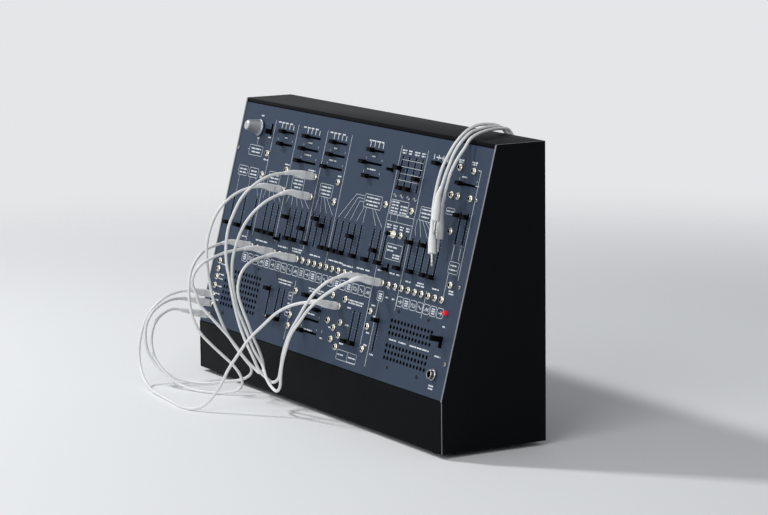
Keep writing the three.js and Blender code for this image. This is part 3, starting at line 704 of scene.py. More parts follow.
@dataclass(frozen=True)
class PlugForm:
    """Sizes of a moulded plug, in metres from its socket's mouth outwards."""

    lift: float = 3.6 * MM
    radius: float = 4.5 * MM
    edge: float = 0.6 * MM
    grip_end: float = 17.0 * MM
    cone_end: float = 41.0 * MM
    cone_steps: int = 8
    cone_bulge: float = 1.1
    end_radius: float = 2.1 * MM
    groove: float = 0.12 * MM
    groove_places: tuple[float, ...] = (8.0 * MM, 10.0 * MM, 12.0 * MM)
    groove_mouth: float = 0.4 * MM
    groove_floor: float = 0.15 * MM
    hang: float = 31.0 * MM
    hidden_steps: int = 8
    tip_radius: float = 1.75 * MM
    tip_neck: float = 0.72
    tip_length: float = 14.0 * MM
    tip_ball: float = 3.4 * MM
    tip_sides: int = 16
    sides: int = 24

    def outline(self) -> list[Pair]:
        """Give the moulding's outline.

        Returns:
            Pairs of distance along the cord and radius.
        """
        points = [
            (self.lift, self.radius - self.edge),
            (self.lift + self.edge * 0.3, self.radius - self.edge * 0.3),
            (self.lift + self.edge, self.radius),
        ]
        for place in self.groove_places:
            points += [
                (place - self.groove_mouth, self.radius),
                (place - self.groove_floor, self.radius - self.groove),
                (place + self.groove_floor, self.radius - self.groove),
                (place + self.groove_mouth, self.radius),
            ]
        points.append((self.grip_end, self.radius))
        for step in range(1, self.cone_steps + 1):
            share = step / self.cone_steps
            narrowing = 1 - (1 - share) ** self.cone_bulge
            width = self.radius + (self.end_radius - self.radius) * narrowing
            points.append((self.grip_end + (self.cone_end - self.grip_end) * share, width))
        points.append((self.cone_end + 0.5 * MM, self.end_radius - 0.3 * MM))
        return points

    def tip(self) -> list[Pair]:
        """Give the metal tip's profile.

        Returns:
            Pairs of radius and height over the moulding's foot.
        """
        top, low = self.lift + 0.4 * MM, self.lift - self.tip_length
        ball = low + self.tip_ball
        wide, thin = self.tip_radius, self.tip_radius * self.tip_neck
        return [
            (0, low), (wide * 0.45, low + 0.25 * MM), (wide * 0.95, low + 1.5 * MM),
            (wide * 0.95, low + 2.0 * MM), (thin, ball - 0.2 * MM), (thin, ball + 0.3 * MM),
            (wide, ball + 0.8 * MM), (wide, ball + 4.4 * MM), (wide * 0.9, ball + 4.5 * MM),
            (wide * 0.9, ball + 5.0 * MM), (wide, ball + 5.1 * MM), (wide, top), (0, top),
        ]


PLUG = PlugForm()


@dataclass(frozen=True)
class PatchCord:
    """A white cord with a moulded plug at each end."""

    name: str
    points: str
    sockets: tuple[Pair, ...] = ()
    radius: float = 1.75 * MM
    spacing: float = 4.5 * MM
    sides: int = 14

    def line(self) -> list[Vector]:
        """Give the centre line as close points.

        Returns:
            Points in the row frame, a few millimetres apart.
        """
        return smooth_route(route(self.points), self.spacing)

    def build(self) -> list[Object]:
        """Make the cord and its plugs.

        Returns:
            The cord, then its plugs and tips.
        """
        line = self.line()
        if not self.sockets:
            line.reverse()
        jacket = swept(line, [self.radius] * len(line), self.sides)
        cord = new_piece(f"{self.name}_jacket", jacket, CORD_JACKET)
        plugs = self.plug("a", line, 0) + self.plug("b", line[::-1], 1)
        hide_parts(self.name)
        return [cord, *plugs]

    def plug(self, mark: str, line: list[Vector], end: int) -> list[Object]:
        """Make the plug at the start of a line.

        Args:
            mark: letter for the plug's name.
            line: the cord's points from this end on.
            end: which of the two sockets it sits in.

        Returns:
            The moulding and the metal tip.
        """
        if self.sockets:
            foot = PLANE.matrix @ PLANE.place(*self.sockets[end])
            axis = PLANE.normal
        else:
            given = route(self.points)
            starts_here = (given[0] - line[0]).length < WELD
            last, after = (given[0], given[1]) if starts_here else (given[-1], given[-2])
            axis = (after - last).normalized()
            foot = after - axis * PLUG.hang
        steps, depth = PLUG.hidden_steps, (line[0] - foot).length
        path = [foot + axis * (step / steps) * depth for step in range(steps)] + line
        outline = PLUG.outline()
        places = [along(path, distance) for distance, _ in outline]
        moulding = swept(places, [radius for _, radius in outline], PLUG.sides)
        body = new_piece(f"{self.name}_plug_{mark}", moulding, PLUG_MOULDING)
        turn = axis.to_track_quat("Z", "Y").to_matrix().to_4x4()
        metal = turned(PLUG.tip(), PLUG.tip_sides, Matrix.Translation(foot) @ turn)
        tip = new_piece(f"{self.name}_tip_{mark}", metal, NICKEL_PLATE)
        return [body, tip]


def route(points: str) -> list[Vector]:
    """Read a route written in millimetres in the case's own frame.

    Args:
        points: the coordinates of one point after another.

    Returns:
        The points in the row frame.
    """
    numbers = [float(word) for word in points.replace(",", " ").split()]
    triples = zip(numbers[0::3], numbers[1::3], numbers[2::3])
    return [Vector(triple) * MM + CASE_SHIFT for triple in triples]


def smooth_route(points: list[Vector], spacing: float) -> list[Vector]:
    """Lay one smooth curve through points, as centripetal spline pieces.

    Args:
        points: places that the curve passes through.
        spacing: greatest distance between the points given back.

    Returns:
        Close points along the curve.
    """
    ends = [points[0] * 2 - points[1], *points, points[-1] * 2 - points[-2]]
    line = [points[0]]
    for before, start, stop, after in zip(ends, ends[1:], ends[2:], ends[3:]):
        stretches = ((before, start), (start, stop), (stop, after))
        gap_in, gap, gap_out = (max((b - a).length, TINY) ** 0.5 for a, b in stretches)
        leave = slope_at(before, start, stop, gap_in, gap) * gap
        arrive = slope_at(start, stop, after, gap, gap_out) * gap
        count = max(2, math.ceil((stop - start).length / spacing) + 1)
        line += interpolate_bezier(start, start + leave / 3, stop - arrive / 3, stop, count)[1:]
    return line


def slope_at(
    before: Vector, middle: Vector, after: Vector, gap_in: float, gap_out: float
) -> Vector:
    """Give the slope of a smooth curve at the middle of three unevenly spaced points."""
    whole = (after - before) / (gap_in + gap_out)
    return (middle - before) / gap_in - whole + (after - middle) / gap_out


def along(path: list[Vector], distance: float) -> Vector:
    """Find the point at a distance along a line of points.

    Args:
        path: the points.
        distance: how far along.

    Returns:
        The point, or the last one where the line is shorter.
    """
    left = distance
    for start, stop in zip(path, path[1:]):
        step = (stop - start).length
        if left <= step:
            return start.lerp(stop, left / step) if step else start
        left -= step
    return path[-1].copy()


def swept(points: list[Vector], radii: Sequence[float], sides: int) -> BMesh:
    """Sweep a round section along points, closed at both ends.

    Args:
        points: the centre line.
        radii: the section's radius at each point.
        sides: sides of the section.

    Returns:
        The closed tube.
    """
    bm = bmesh.new()
    tangents = [points[1] - points[0]]
    tangents += [after - before for before, after in zip(points, points[2:])]
    tangents.append(points[-1] - points[-2])
    turn = tangents[0].normalized().to_track_quat("Z", "Y")
    loops = []
    for place, tangent, radius in zip(points, tangents, radii):
        heading = turn @ Vector((0, 0, 1))
        turn = heading.rotation_difference(tangent.normalized()) @ turn
        matrix = Matrix.Translation(place) @ turn.to_matrix().to_4x4()
        ring = bmesh.ops.create_circle(
            bm, cap_ends=False, segments=sides, radius=radius, matrix=matrix
        )
        loops.append(list({edge for vert in ring["verts"] for edge in vert.link_edges}))
    for low, high in zip(loops, loops[1:]):
        bmesh.ops.bridge_loops(bm, edges=low + high)
    bmesh.ops.contextual_create(bm, geom=loops[0])
    bmesh.ops.contextual_create(bm, geom=loops[-1])
    bmesh.ops.recalc_face_normals(bm, faces=bm.faces)
    return bm


# Where things stand on the panel: shares of its width and of its slope length

COLUMN_START = 0.0375
COLUMN_STEP = 0.02476
ROW_SHARE = 104.03 * MM / PLANE.length
MAIN_HEIGHT = 140.92 * MM
MAIN_SHARE = MAIN_HEIGHT / PLANE.length
MAIN_COLUMNS = (0, 2, 4, *range(6, 9), *range(10, 23), 24, 25, 26, *range(29, 35))
ROW_COLUMNS = (*range(4, 26), *range(27, 37))
SIGN_COLUMNS = (*range(4, 26), 27, *range(30, 37))
LOOSE_SOCKETS = """
.1435 .78   .14 .687    .24 .729    .4585 .727  .4585 .642  .6581 .683  .7575 .681  .7365 .576
.895 .888   .944 .884   .885 .778   .908 .778   .952 .778   .908 .64    .947 .44    .038 .279
.038 .244   .038 .209   .038 .17    .383 .248   .38 .145    .38 .099    .5325 .275  .534 .171
.583 .273   .5826 .177  .56 .149    .585 .125   .559 .101   .583 .076   .6856 .256  .6856 .194
.684 .101   .362 .727   .362 .642   .243 .642   .563 .2374  .038 .128   .038 .088   .038 .036
"""
UPRIGHT_SLIDERS = """
.6813 .8206 .632   .706 .8206 0       .7308 .8206 0     .7555 .8206 .387   .9289 .6534 .93
.9536 .6534 .93    .273 .1714 .94     .31 .1714 0       .334 .1714 0       .6226 .1714 0
.6463 .1714 0      .7186 .1714 .97
"""
LEVEL_SLIDERS = """
.204 .885 .425    .204 .832 .425   .316 .885 .237     .316 .832 .133     .316 .778 0
.427 .885 .284    .427 .832 .21    .427 .778 0        .575 .885 .378     .575 .832 0
.575 .778 .378    .8185 .885 .46   .9285 .828 .22     .4625 .2436 .03    .4625 .197 .9
.4625 .15 .12     .4625 .099 .17
"""


def rows_of(text: str, width: int) -> list[tuple[float, ...]]:
    """Read rows of numbers from a text."""
    numbers = [float(word) for word in text.split()]
    return [tuple(numbers[start:start + width]) for start in range(0, len(numbers), width)]


def column_share(column: int) -> float:
    """Give the share of the panel's width at which a column stands."""
    return COLUMN_START + COLUMN_STEP * column


def panel_box(node: str) -> tuple[Vector, Vector, Matrix]:
    """Give a CAD node's box in the panel's frame, and the stand on the plane at its middle.

    Args:
        node: the CAD node's name.

    Returns:
        The lowest corner, the highest corner and the stand.
    """
    back = PLANE.matrix.inverted()
    points = [back @ vert.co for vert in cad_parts[node].data.vertices]
    low = Vector(min(point[axis] for point in points) for axis in range(3))
    high = Vector(max(point[axis] for point in points) for axis in range(3))
    middle = Matrix.Translation(((low.x + high.x) / 2, (low.y + high.y) / 2, 0))
    return low, high, PLANE.matrix @ middle


# The case of sheet metal

@dataclass(frozen=True)
class SheetCase:
    """Cheeks, plates and tray of folded black sheet, on rubber feet."""

    fold: float = 0.55 * MM
    cheek_names: tuple[str, ...] = ("side_panel_left", "side_panel_right")
    plate_names: tuple[str, ...] = ("top_panel", "back_panel", "base_tray")
    foot_places: tuple[str, ...] = ("front_left", "front_right", "rear_left", "rear_right")
    foot_radius: float = 8.0 * MM
    foot_height: float = 5.0 * MM
    foot_sides: int = 40
    top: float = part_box("top_panel")[1].z
    rim_gap: float = 0.8 * MM
    rim_lean: float = 0.55
    corner_lean: float = 0.2
    flat_lean: float = 0.9
    level_lean: float = 0.1
    screws_across: tuple[float, ...] = (0.015, 0.26, 0.5, 0.74, 0.985)
    screws_up: tuple[float, ...] = (0.035, 0.965)

    def build(self) -> list[Object]:
        """Make the plates, the feet and the screws of the back.

        Returns:
            The pieces.
        """
        made = [self.plate(name) for name in self.cheek_names + self.plate_names]
        made += [self.foot(f"foot_{place}") for place in self.foot_places]
        made.append(self.back_screws())
        return made

    def plate(self, name: str) -> Object:
        """Make a plate with softly broken edges, and on a cheek a highlight painted along its rims.

        Args:
            name: the CAD node that it stands for.

        Returns:
            The piece.
        """
        bm = softened(name, self.fold)
        # Faces on a cheek's rims take the second material: a highlight painted on the edge
        for face in bm.faces:
            face.material_index = int(name in self.cheek_names and self.on_rim(face))
        piece = new_piece(f"{name}_sheet", bm, POWDER_COAT)
        piece.data.materials.append(PAINTED_EDGE_HIGHLIGHT.build())
        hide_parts(name)
        return piece

    def on_rim(self, face: BMFace) -> bool:
        """Tell whether a face of a cheek lies on its leaning rim, or on a corner at its end.

        Args:
            face: the face.

        Returns:
            Whether the face takes the painted highlight.
        """
        middle = face.calc_center_median()
        place = PLANE.matrix.inverted() @ middle
        outermost = abs(middle.x) > PLANE.width / 2 - self.fold
        if place.y <= 0:
            at_front = abs(middle.y - PLANE.foot.y) < self.fold
            return outermost and at_front and face.normal.y < -self.corner_lean
        if middle.z > self.top - self.fold:
            return outermost and self.level_lean < abs(face.normal.x) < self.flat_lean
        return abs(place.z) < self.rim_gap and face.normal.dot(PLANE.normal) > self.rim_lean

    def foot(self, name: str) -> Object:
        """Turn a rubber foot with a sunk middle for its screw.

        Args:
            name: the CAD node that it stands for.

        Returns:
            The piece.
        """
        low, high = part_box(name)
        middle = (low + high) / 2
        radius, height = self.foot_radius, self.foot_height
        profile = [
            (0, 1.6 * MM), (2.6 * MM, 1.6 * MM), (2.9 * MM, 0.3 * MM), (3.3 * MM, 0),
            (radius - 1.4 * MM, 0), (radius - 0.5 * MM, 0.4 * MM),
            (radius - 0.2 * MM, 1.2 * MM), (radius, height), (0, height),
        ]
        bm = turned(profile, self.foot_sides, Matrix.Translation((middle.x, middle.y, low.z)))
        piece = new_piece(f"{name}_rubber", bm, FOOT_RUBBER)
        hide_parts(name)
        return piece

    def back_screws(self) -> Object:
        """Set black screws around the edge of the back plate.

        Returns:
            The piece.
        """
        low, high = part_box("back_panel")
        size = high - low
        turn = Matrix.Rotation(math.radians(-90), 4, "X")
        places = [
            Matrix.Translation((low.x + size.x * across, high.y, low.z + size.z * up)) @ turn
            for across in self.screws_across
            for up in self.screws_up
        ]
        bm = bmesh.new()
        stamp(bm, ScrewHead(radius=2.6 * MM, height=1.3 * MM).shape(), places)
        return new_piece("back_screws", bm, SCREW_BLACK)


@dataclass(frozen=True)
class ScrewHead:
    """A domed screw head with a cross recess."""

    radius: float
    height: float
    sides: int = 24
    recess_turn: float = 20.0
    recess_share: float = 0.45

    def shape(self) -> BMesh:
        """Make the head, standing on Z = 0.

        Returns:
            The shape.
        """
        radius, height = self.radius, self.height
        profile = [
            (0, -0.2 * MM), (radius * 0.97, -0.2 * MM), (radius, height * 0.25),
            (radius * 0.86, height * 0.68), (radius * 0.5, height * 0.94), (0, height),
        ]
        cross = bmesh.new()
        lift = Matrix.Translation((0, 0, height * self.recess_share + height * 0.6))
        size = Matrix.Diagonal((radius * 1.15, radius * 0.26, height * 1.2, 1))
        for turn in (0, 90):
            matrix = Matrix.Rotation(math.radians(turn + self.recess_turn), 4, "Z")
            bmesh.ops.create_cube(cross, size=1, matrix=matrix @ lift @ size)
        return carved(turned(profile, self.sides), cross)


def carved(bm: BMesh, cutter: BMesh) -> BMesh:
    """Cut one closed shape out of another.

    Args:
        bm: the shape that is cut, which is freed.
        cutter: what is taken away, which is freed.

    Returns:
        What is left.
    """
    pair = []
    for name, shape in (("stock", bm), ("cutter", cutter)):
        mesh = bpy.data.meshes.new(name)
        shape.to_mesh(mesh)
        shape.free()
        pair.append(bpy.data.objects.new(name, mesh))
        bpy.context.scene.collection.objects.link(pair[-1])
    stock, tool = pair
    modifier = stock.modifiers.new("cut", "BOOLEAN")
    modifier.operation = "DIFFERENCE"
    modifier.solver = "EXACT"
    modifier.use_self = True
    modifier.object = tool
    bpy.context.view_layer.update()
    left = bmesh.new()
    left.from_object(stock, bpy.context.evaluated_depsgraph_get())
    bmesh.ops.dissolve_degenerate(left, dist=0.001 * MM, edges=left.edges)
    for piece in pair:
        mesh = piece.data
        bpy.data.objects.remove(piece)
        bpy.data.meshes.remove(mesh)
    return left


# The control panel and its print

@dataclass(frozen=True)
class ControlPanel:
    """The leaning sheet with its slots and grilles, its print and its screws."""

    hole_radius: float = 2.25 * MM
    hole_sides: int = 10
    hole_turn: float = 18.0
    hole_depth: float = 9.0 * MM
    holes_across: int = 13
    left_holes: Pair = (0.0755, 0.01222)
    left_rows: tuple[float, float, int] = (0.049, 0.0121, 7)
    right_holes: Pair = (0.7668, 0.01238)
    right_rows: tuple[float, ...] = (0.119, 0.107, 0.095, 0.071, 0.059, 0.047)
    screw_shares: tuple[Pair, ...] = (
        (0.0105, 0.377),
        (0.972, 0.376),
        (0.978, 0.213),
        (0.984, 0.069),
    )
    speaker_screws: tuple[tuple[Pair, Pair], ...] = (
        ((0.785, 0.895), (0.139, 0.030)),
        ((0.092, 0.206), (0.031, 0.140)),
    )

    def build(self) -> list[Object]:
        """Make the sheet, the print and the screws.

        Returns:
            The pieces.
        """
        return [self.sheet(), self.print(), *self.screws()]

    def grille_places(self) -> list[Matrix]:
        """List the holes of both grilles.

        Returns:
            A matrix for each hole, in the row frame.
        """
        start, step = self.left_holes
        foot, rise, rows = self.left_rows
        count = self.holes_across
        left = [(start + step * i, foot + rise * j) for i in range(count) for j in range(rows)]
        start, step = self.right_holes
        right = [(start + step * i, row) for i in range(count) for row in self.right_rows]
        return [PLANE.at(x, v, 0) for x, v in left + right]

    def sheet(self) -> Object:
        """Cut the grilles into the CAD sheet and paint shade on the walls of its holes and on its
        edges.

        Returns:
            The piece.
        """
        pin = bmesh.new()
        bmesh.ops.create_cone(
            pin,
            cap_ends=True,
            segments=self.hole_sides,
            radius1=self.hole_radius,
            radius2=self.hole_radius,
            depth=self.hole_depth,
            matrix=Matrix.Rotation(math.radians(self.hole_turn), 4, "Z"),
        )
        holes = bmesh.new()
        stamp(holes, pin, self.grille_places())
        bm = carved(copied("front_panel"), holes)
        bm.normal_update()
        # Faces that stand across the sheet take the second material, painted shade
        for face in bm.faces:
            face.material_index = int(abs(face.normal.dot(PLANE.normal)) < 0.5)
        piece = new_piece("front_panel_sheet", bm, PANEL_ENAMEL)
        piece.data.materials.append(PAINTED_SHADE_IN_HOLES.build())
        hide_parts("front_panel")
        return piece

    def screws(self) -> list[Object]:
        """Make the bright screws of the panel and the dark ones of the speakers.

        Returns:
            The two pieces.
        """
        speakers = [(x, v) for across, up in self.speaker_screws for v in up for x in across]
        bright, dark = bmesh.new(), bmesh.new()
        for bm, head, shares in (
            (bright, ScrewHead(2.5 * MM, 1.7 * MM), self.screw_shares),
            (dark, ScrewHead(2.2 * MM, 0.9 * MM), speakers),
        ):
            stamp(bm, head.shape(), [PLANE.at(x, v, SHEET_FACE) for x, v in shares])
        return [
            new_piece("panel_screws", bright, NICKEL_PLATE),
            new_piece("speaker_screws", dark, SCREW_BLACK),
        ]

    def print(self) -> Object:
        """Lay the white print on the sheet.

        Returns:
            The piece.
        """
        sheet = PrintSheet()
        sheet.frames()
        sheet.scales()
        sheet.words()
        sheet.icons()
        return new_piece("panel_print", sheet.bm, SCREEN_INK, smooth=False)


class Wave(Enum):
    """The little signs in the boxes under the row of sockets."""

    SINE = "sine"
    SQUARE = "square"
    RAMP = "ramp"
    ARROW = "arrow"
    WORD = "word"


@dataclass
class PrintSheet:
    """Thin white strokes on the panel, in thousandths of its width from its lower left corner."""

    SECTION_LINES = """
    149 449 149 205    248.5 449 248.5 205   372.5 449 372.5 205    472 449 472 190
    669 449 669 140    768.5 449 768.5 139   867 190 867 139        928.5 287 928.5 260
    928.5 232 928.5 186  966 431 966 225     955 431 966 431        957 402 969 402
    371 139 371 19     670 139 670 55        703.5 150 703.5 19     953 289 953 260
    127 214 127 190    247 190 247 186       372 190 372 186        471 190 471 186
    """
    FAN_LINES = """
    39 322 39 286      88 322 88 286      112 322 137.5 286     170 317 161.5 286
    180 317 187 286    190 317 212 286    200 317 237.5 286     275 317 262 286
    284 317 286.5 286  294 317 311 286    304 317 336 286       314 317 360 286
    392 317 385.5 286  402 317 410 286    412 317 434.5 286     422 317 460 286
    567 338 537 338    537 338 485 286    567 332 545 332       545 332 510 286
    571 326 555 326    555 326 534 286    576 317 558 286       585 317 583 286
    608 317 633 286    617 317 658 286    682 316 682 302       707 316 707 302
    780 317 780 298    780 298 787 286    790 317 806 286       800 317 831 286
    811 317 855 286    820 317 879.5 286  673 302 767 302       673 316 767 316
    680 423 759 423    680 409.5 759 409.5  680 396 759 396     680 383 759 383
    87 405 87 390      58 379 52 379      141 190 149 190       515 60 515 54
    """
    BOXES = """
    58 368 58 21       30 322 40 20       78 322 40 20          166 317 49 26
    270 317 50 26      388 317 52 26      571 317 67 26         673 318 66 26
    785 317 45 26      691 230 58 30      875 340 30 12         925 234 34 22
    589 15 77 19       631 16 35 18       353 100 16 14         353 66 16 14
    """
    WORDS = """
    167 447 11  183 447 11  199 447 11  217 447 11  277 447 11  293 447 11  309 447 11  327 447 11
    389 447 11  405 447 11  421 447 11  440 447 11  572 447 58  206 417 12  310 417 20  417 417 12
    572 417 12  310 392 30  416 392 28  572 391 34  87 453 12   87 405 10   136 411 12  138 364 20
    136 326 16  234 364 18  455 364 16  455 318 14  341 363 30  87 382 46   87 375 38   50 335 28
    50 328 30   98 335 24   98 328 30   190 337 36  190 330 40  190 323 34  295 337 38
    295 330 42  295 323 30  414 337 38  414 330 42  414 323 36  604 337 50  604 330 56  604 323 44
    690 340 26  690 334 24  690 328 26  690 322 26  724 334 26  724 328 24  724 322 26  806 338 34
    806 331 36  806 324 30  890 346 24  942 249 24  942 241 26  712 254 34  706 247 24  732 240 26
    732 235 26  683 441 16  705 441 13  731 441 18  755 441 15  683 436 15  705 436 12  731 436 17
    755 436 14  683 295 16  707 295 16  731 295 15  755 295 15  683 290 14  707 290 12  731 290 13
    755 290 13  683 205 15  731 205 18  755 205 14  816 440 30  891 444 18  939 444 18  891 440 14
    939 440 14  914 414 16  795 198 20  840 201 24  840 196 32  896 198 24  952 202 18  952 197 17
    951.7 135 9 951.7 78.5 21  952 23 20  952 17.5 20
    115 198 20  194 198 50  288 198 40  349 201 42  349 196 36  425 198 44  510 198 60  560 196 44
    610 198 30  640 198 20  328 133 60  328 127 52  459 133 62  459 128 50  620 133 68  620 128 56
    361 107 10  361 73 10   459 84 30   459 52 34   51 129 24   51 107 26   51 98 22    51 82 26
    51 66 22    51 53 24    543 110 12  543 70 12   600 118 14  605 84 14   600 46 18   687 136 16
    687 82 14   687 58 14   700 116 10  649 25 26   604 25 22   516 44 10   743 318 10  361 91 10
    281 53 14   718 44 14   752 326 6   731 176 7   755 176 7   731 158 9   755 158 9
    784 83 26   821 83 28   855 83 20   892 83 52
    """

    SIGN_LINES = {
        # The last point comes twice, which squares the end of the curve
        Wave.SINE: [
            [(step - 6, 3 * math.sin(step / 6 * math.pi)) for step in (*range(0, 13, 2), 12)]
        ],
        Wave.SQUARE: [[(-6, -3), (-6, 3), (0, 3), (0, -3), (6, -3), (6, 3)]],
        Wave.RAMP: [[(-6, -3), (0, 3), (0, -3), (6, 3), (6, -3)]],
        Wave.ARROW: [[(-6, 0), (6, 0)], [(2, 3.5), (6, 0), (2, -3.5)]],
    }
    ink: float = 0.05 * MM
    section_stroke: float = 0.55 * MM
    fan_stroke: float = 0.4 * MM
    box_stroke: float = 0.45 * MM
    tick_stroke: float = 0.22 * MM
    sign_stroke: float = 0.75 * MM
    cut_corner: float = 2.0
    word_height: float = 1.6 * MM
    word_step: float = 2.4
    sign_box: Pair = (21.2, 18.5)
    sign_foot: int = 148
    sign_middle: int = 157
    other_signs: tuple[Pair, ...] = ((681.3, 352.5), (706, 352.5), (730.8, 352.5), (755.5, 352.5))
    ticks: int = 11
    tick_step: float = 5.85
    tick_start: float = 4.4
    tick_length: float = 0.9
    level_foot: float = 7.5
    top_row: float = 0.88
    unit: float = PLANE.width / 1000
    bm: BMesh = field(default_factory=bmesh.new)

    def stroke(self, start: Pair, stop: Pair, width: float, square: bool = False) -> None:
        """Print a straight stroke.

        Args:
            start: where it begins, in thousandths of the panel's width.
            stop: where it ends.
            width: its width in metres.
            square: whether it ends there, and not half its width further on.
        """
        a = Vector((start[0] * self.unit - PLANE.width / 2, start[1] * self.unit, 0))
        b = Vector((stop[0] * self.unit - PLANE.width / 2, stop[1] * self.unit, 0))
        run = b - a
        turn = Matrix.Rotation(math.atan2(run.y, run.x), 4, "Z")
        size = Matrix.Diagonal((run.length + (0 if square else width), width, self.ink, 1))
        middle = Matrix.Translation((a + b) / 2 + Vector((0, 0, SHEET_FACE + self.ink / 2)))
        bmesh.ops.create_cube(self.bm, size=1, matrix=PLANE.matrix @ middle @ turn @ size)

    def chain(self, points: Sequence[Pair], width: float, closed: bool = False) -> None:
        """Print strokes from point to point.

        Args:
            points: the corners.
            width: the strokes' width in metres.
            closed: whether the last point joins the first.
        """
        points = [*points, points[0]] if closed else points
        for start, stop in zip(points, points[1:]):
            self.stroke(start, stop, width)

    def box(self, x: float, v: float, wide: float, high: float, width: float) -> None:
        """Print a frame with cut corners.

        Args:
            x: its left side.
            v: its foot.
            wide: its width.
            high: its height.
            width: the strokes' width in metres.
        """
        cut = min(self.cut_corner, high / 4)
        right, top = x + wide, v + high
        corners = [
            (x + cut, v), (right - cut, v), (right, v + cut), (right, top - cut),
            (right - cut, top), (x + cut, top), (x, top - cut), (x, v + cut),
        ]
        self.chain(corners, width, closed=True)

    def word(self, middle: float, v: float, length: float) -> None:
        """Print a greeked word: short blocks that no one can read.

        Args:
            middle: its middle.
            v: its middle height.
            length: its length.
        """
        step, high = self.word_step, self.word_height / self.unit
        count = max(1, round(length / step))
        place = middle - count * step / 2
        for index in range(count):
            long = step * (0.86 if (index * 7 + round(v)) % 4 else 0.7)
            if (index + round(middle)) % 8 != 7 or count < 6:
                self.block(place, v - high / 2, long, high)
            place += step

    def block(self, x: float, v: float, wide: float, high: float) -> None:
        """Print a solid block from its lower left corner."""
        self.stroke((x, v + high / 2), (x + wide, v + high / 2), high * self.unit, square=True)

    def frames(self) -> None:
        """Print the section lines, the fans of fine lines and the boxes."""
        for table, width in (
            (self.SECTION_LINES, self.section_stroke),
            (self.FAN_LINES, self.fan_stroke),
        ):
            for x1, v1, x2, v2 in rows_of(table, 4):
                self.stroke((x1, v1), (x2, v2), width)
        for x, v, wide, high in rows_of(self.BOXES, 4):
            self.box(x, v, wide, high, self.box_stroke)
        wide, high = self.sign_box
        for column in SIGN_COLUMNS:
            x = column_share(column) * 1000 - wide / 2
            self.box(x, self.sign_foot, wide, high, self.section_stroke)

    def scales(self) -> None:
        """Print the tick marks beside the sliders."""
        for column in MAIN_COLUMNS:
            self.upright_scale(column_share(column) * 1000, MAIN_HEIGHT / self.unit)
        for x, y, _ in rows_of(UPRIGHT_SLIDERS, 3):
            self.upright_scale(x * 1000, y * PLANE.length / self.unit)
        for x, y, _ in rows_of(LEVEL_SLIDERS, 3):
            self.level_scale(x * 1000, y * PLANE.length / self.unit, y > self.top_row)

    def upright_scale(self, x: float, middle: float) -> None:
        """Print ticks on both sides of an upright slider.

        Args:
            x: its middle.
            middle: its middle height.
        """
        for index in range(self.ticks):
            v = middle + (index - self.ticks // 2) * self.tick_step
            long = self.tick_length * (2 if index % (self.ticks // 2) == 0 else 1)
            for side in (-1, 1):
                near, far = x + side * self.tick_start, x + side * (self.tick_start + long)
                self.stroke((near, v), (far, v), self.tick_stroke)

    def level_scale(self, x: float, middle: float, tall_marks: bool) -> None:
        """Print the marks over a level slider.

        Args:
            x: its middle.
            middle: its middle height.
            tall_marks: whether it has four tall marks, and not a small one over each end.
        """
        if tall_marks:
            marks, apart, tall, wide = 4, 16.5, 8.0, 1.2 * MM
        else:
            marks, apart, tall, wide = 2, 62.0, 2.5, 0.6 * MM
        foot = middle + self.level_foot
        for index in range(marks):
            place = x + (index - (marks - 1) / 2) * apart
            self.stroke((place, foot), (place, foot + tall), wide)

    def words(self) -> None:
        """Print the greeked words."""
        for middle, v, length in rows_of(self.WORDS, 3):
            self.word(middle, v, length)

    def icons(self) -> None:
        """Print a little sign in each box of the socket row, and under four sliders."""
        signs = (Wave.WORD, Wave.SQUARE, Wave.SINE, Wave.RAMP, Wave.WORD, Wave.ARROW)
        for index, column in enumerate(SIGN_COLUMNS):
            self.icon(signs[index % len(signs)], column_share(column) * 1000, self.sign_middle)
        for x, v in self.other_signs:
            self.icon(Wave.SINE, x, v)

    def icon(self, sign: Wave, x: float, v: float) -> None:
        """Print one sign.

        Args:
            sign: which one.
            x: its middle.
            v: its middle height.
        """
        if sign is Wave.WORD:
            for rise in (4.2, 0, -4.2):
                self.word(x, v + rise, 13)
            return
        for line in self.SIGN_LINES[sign]:
            self.chain([(x + right, v + up) for right, up in line], self.sign_stroke)


# Sockets, board and speakers

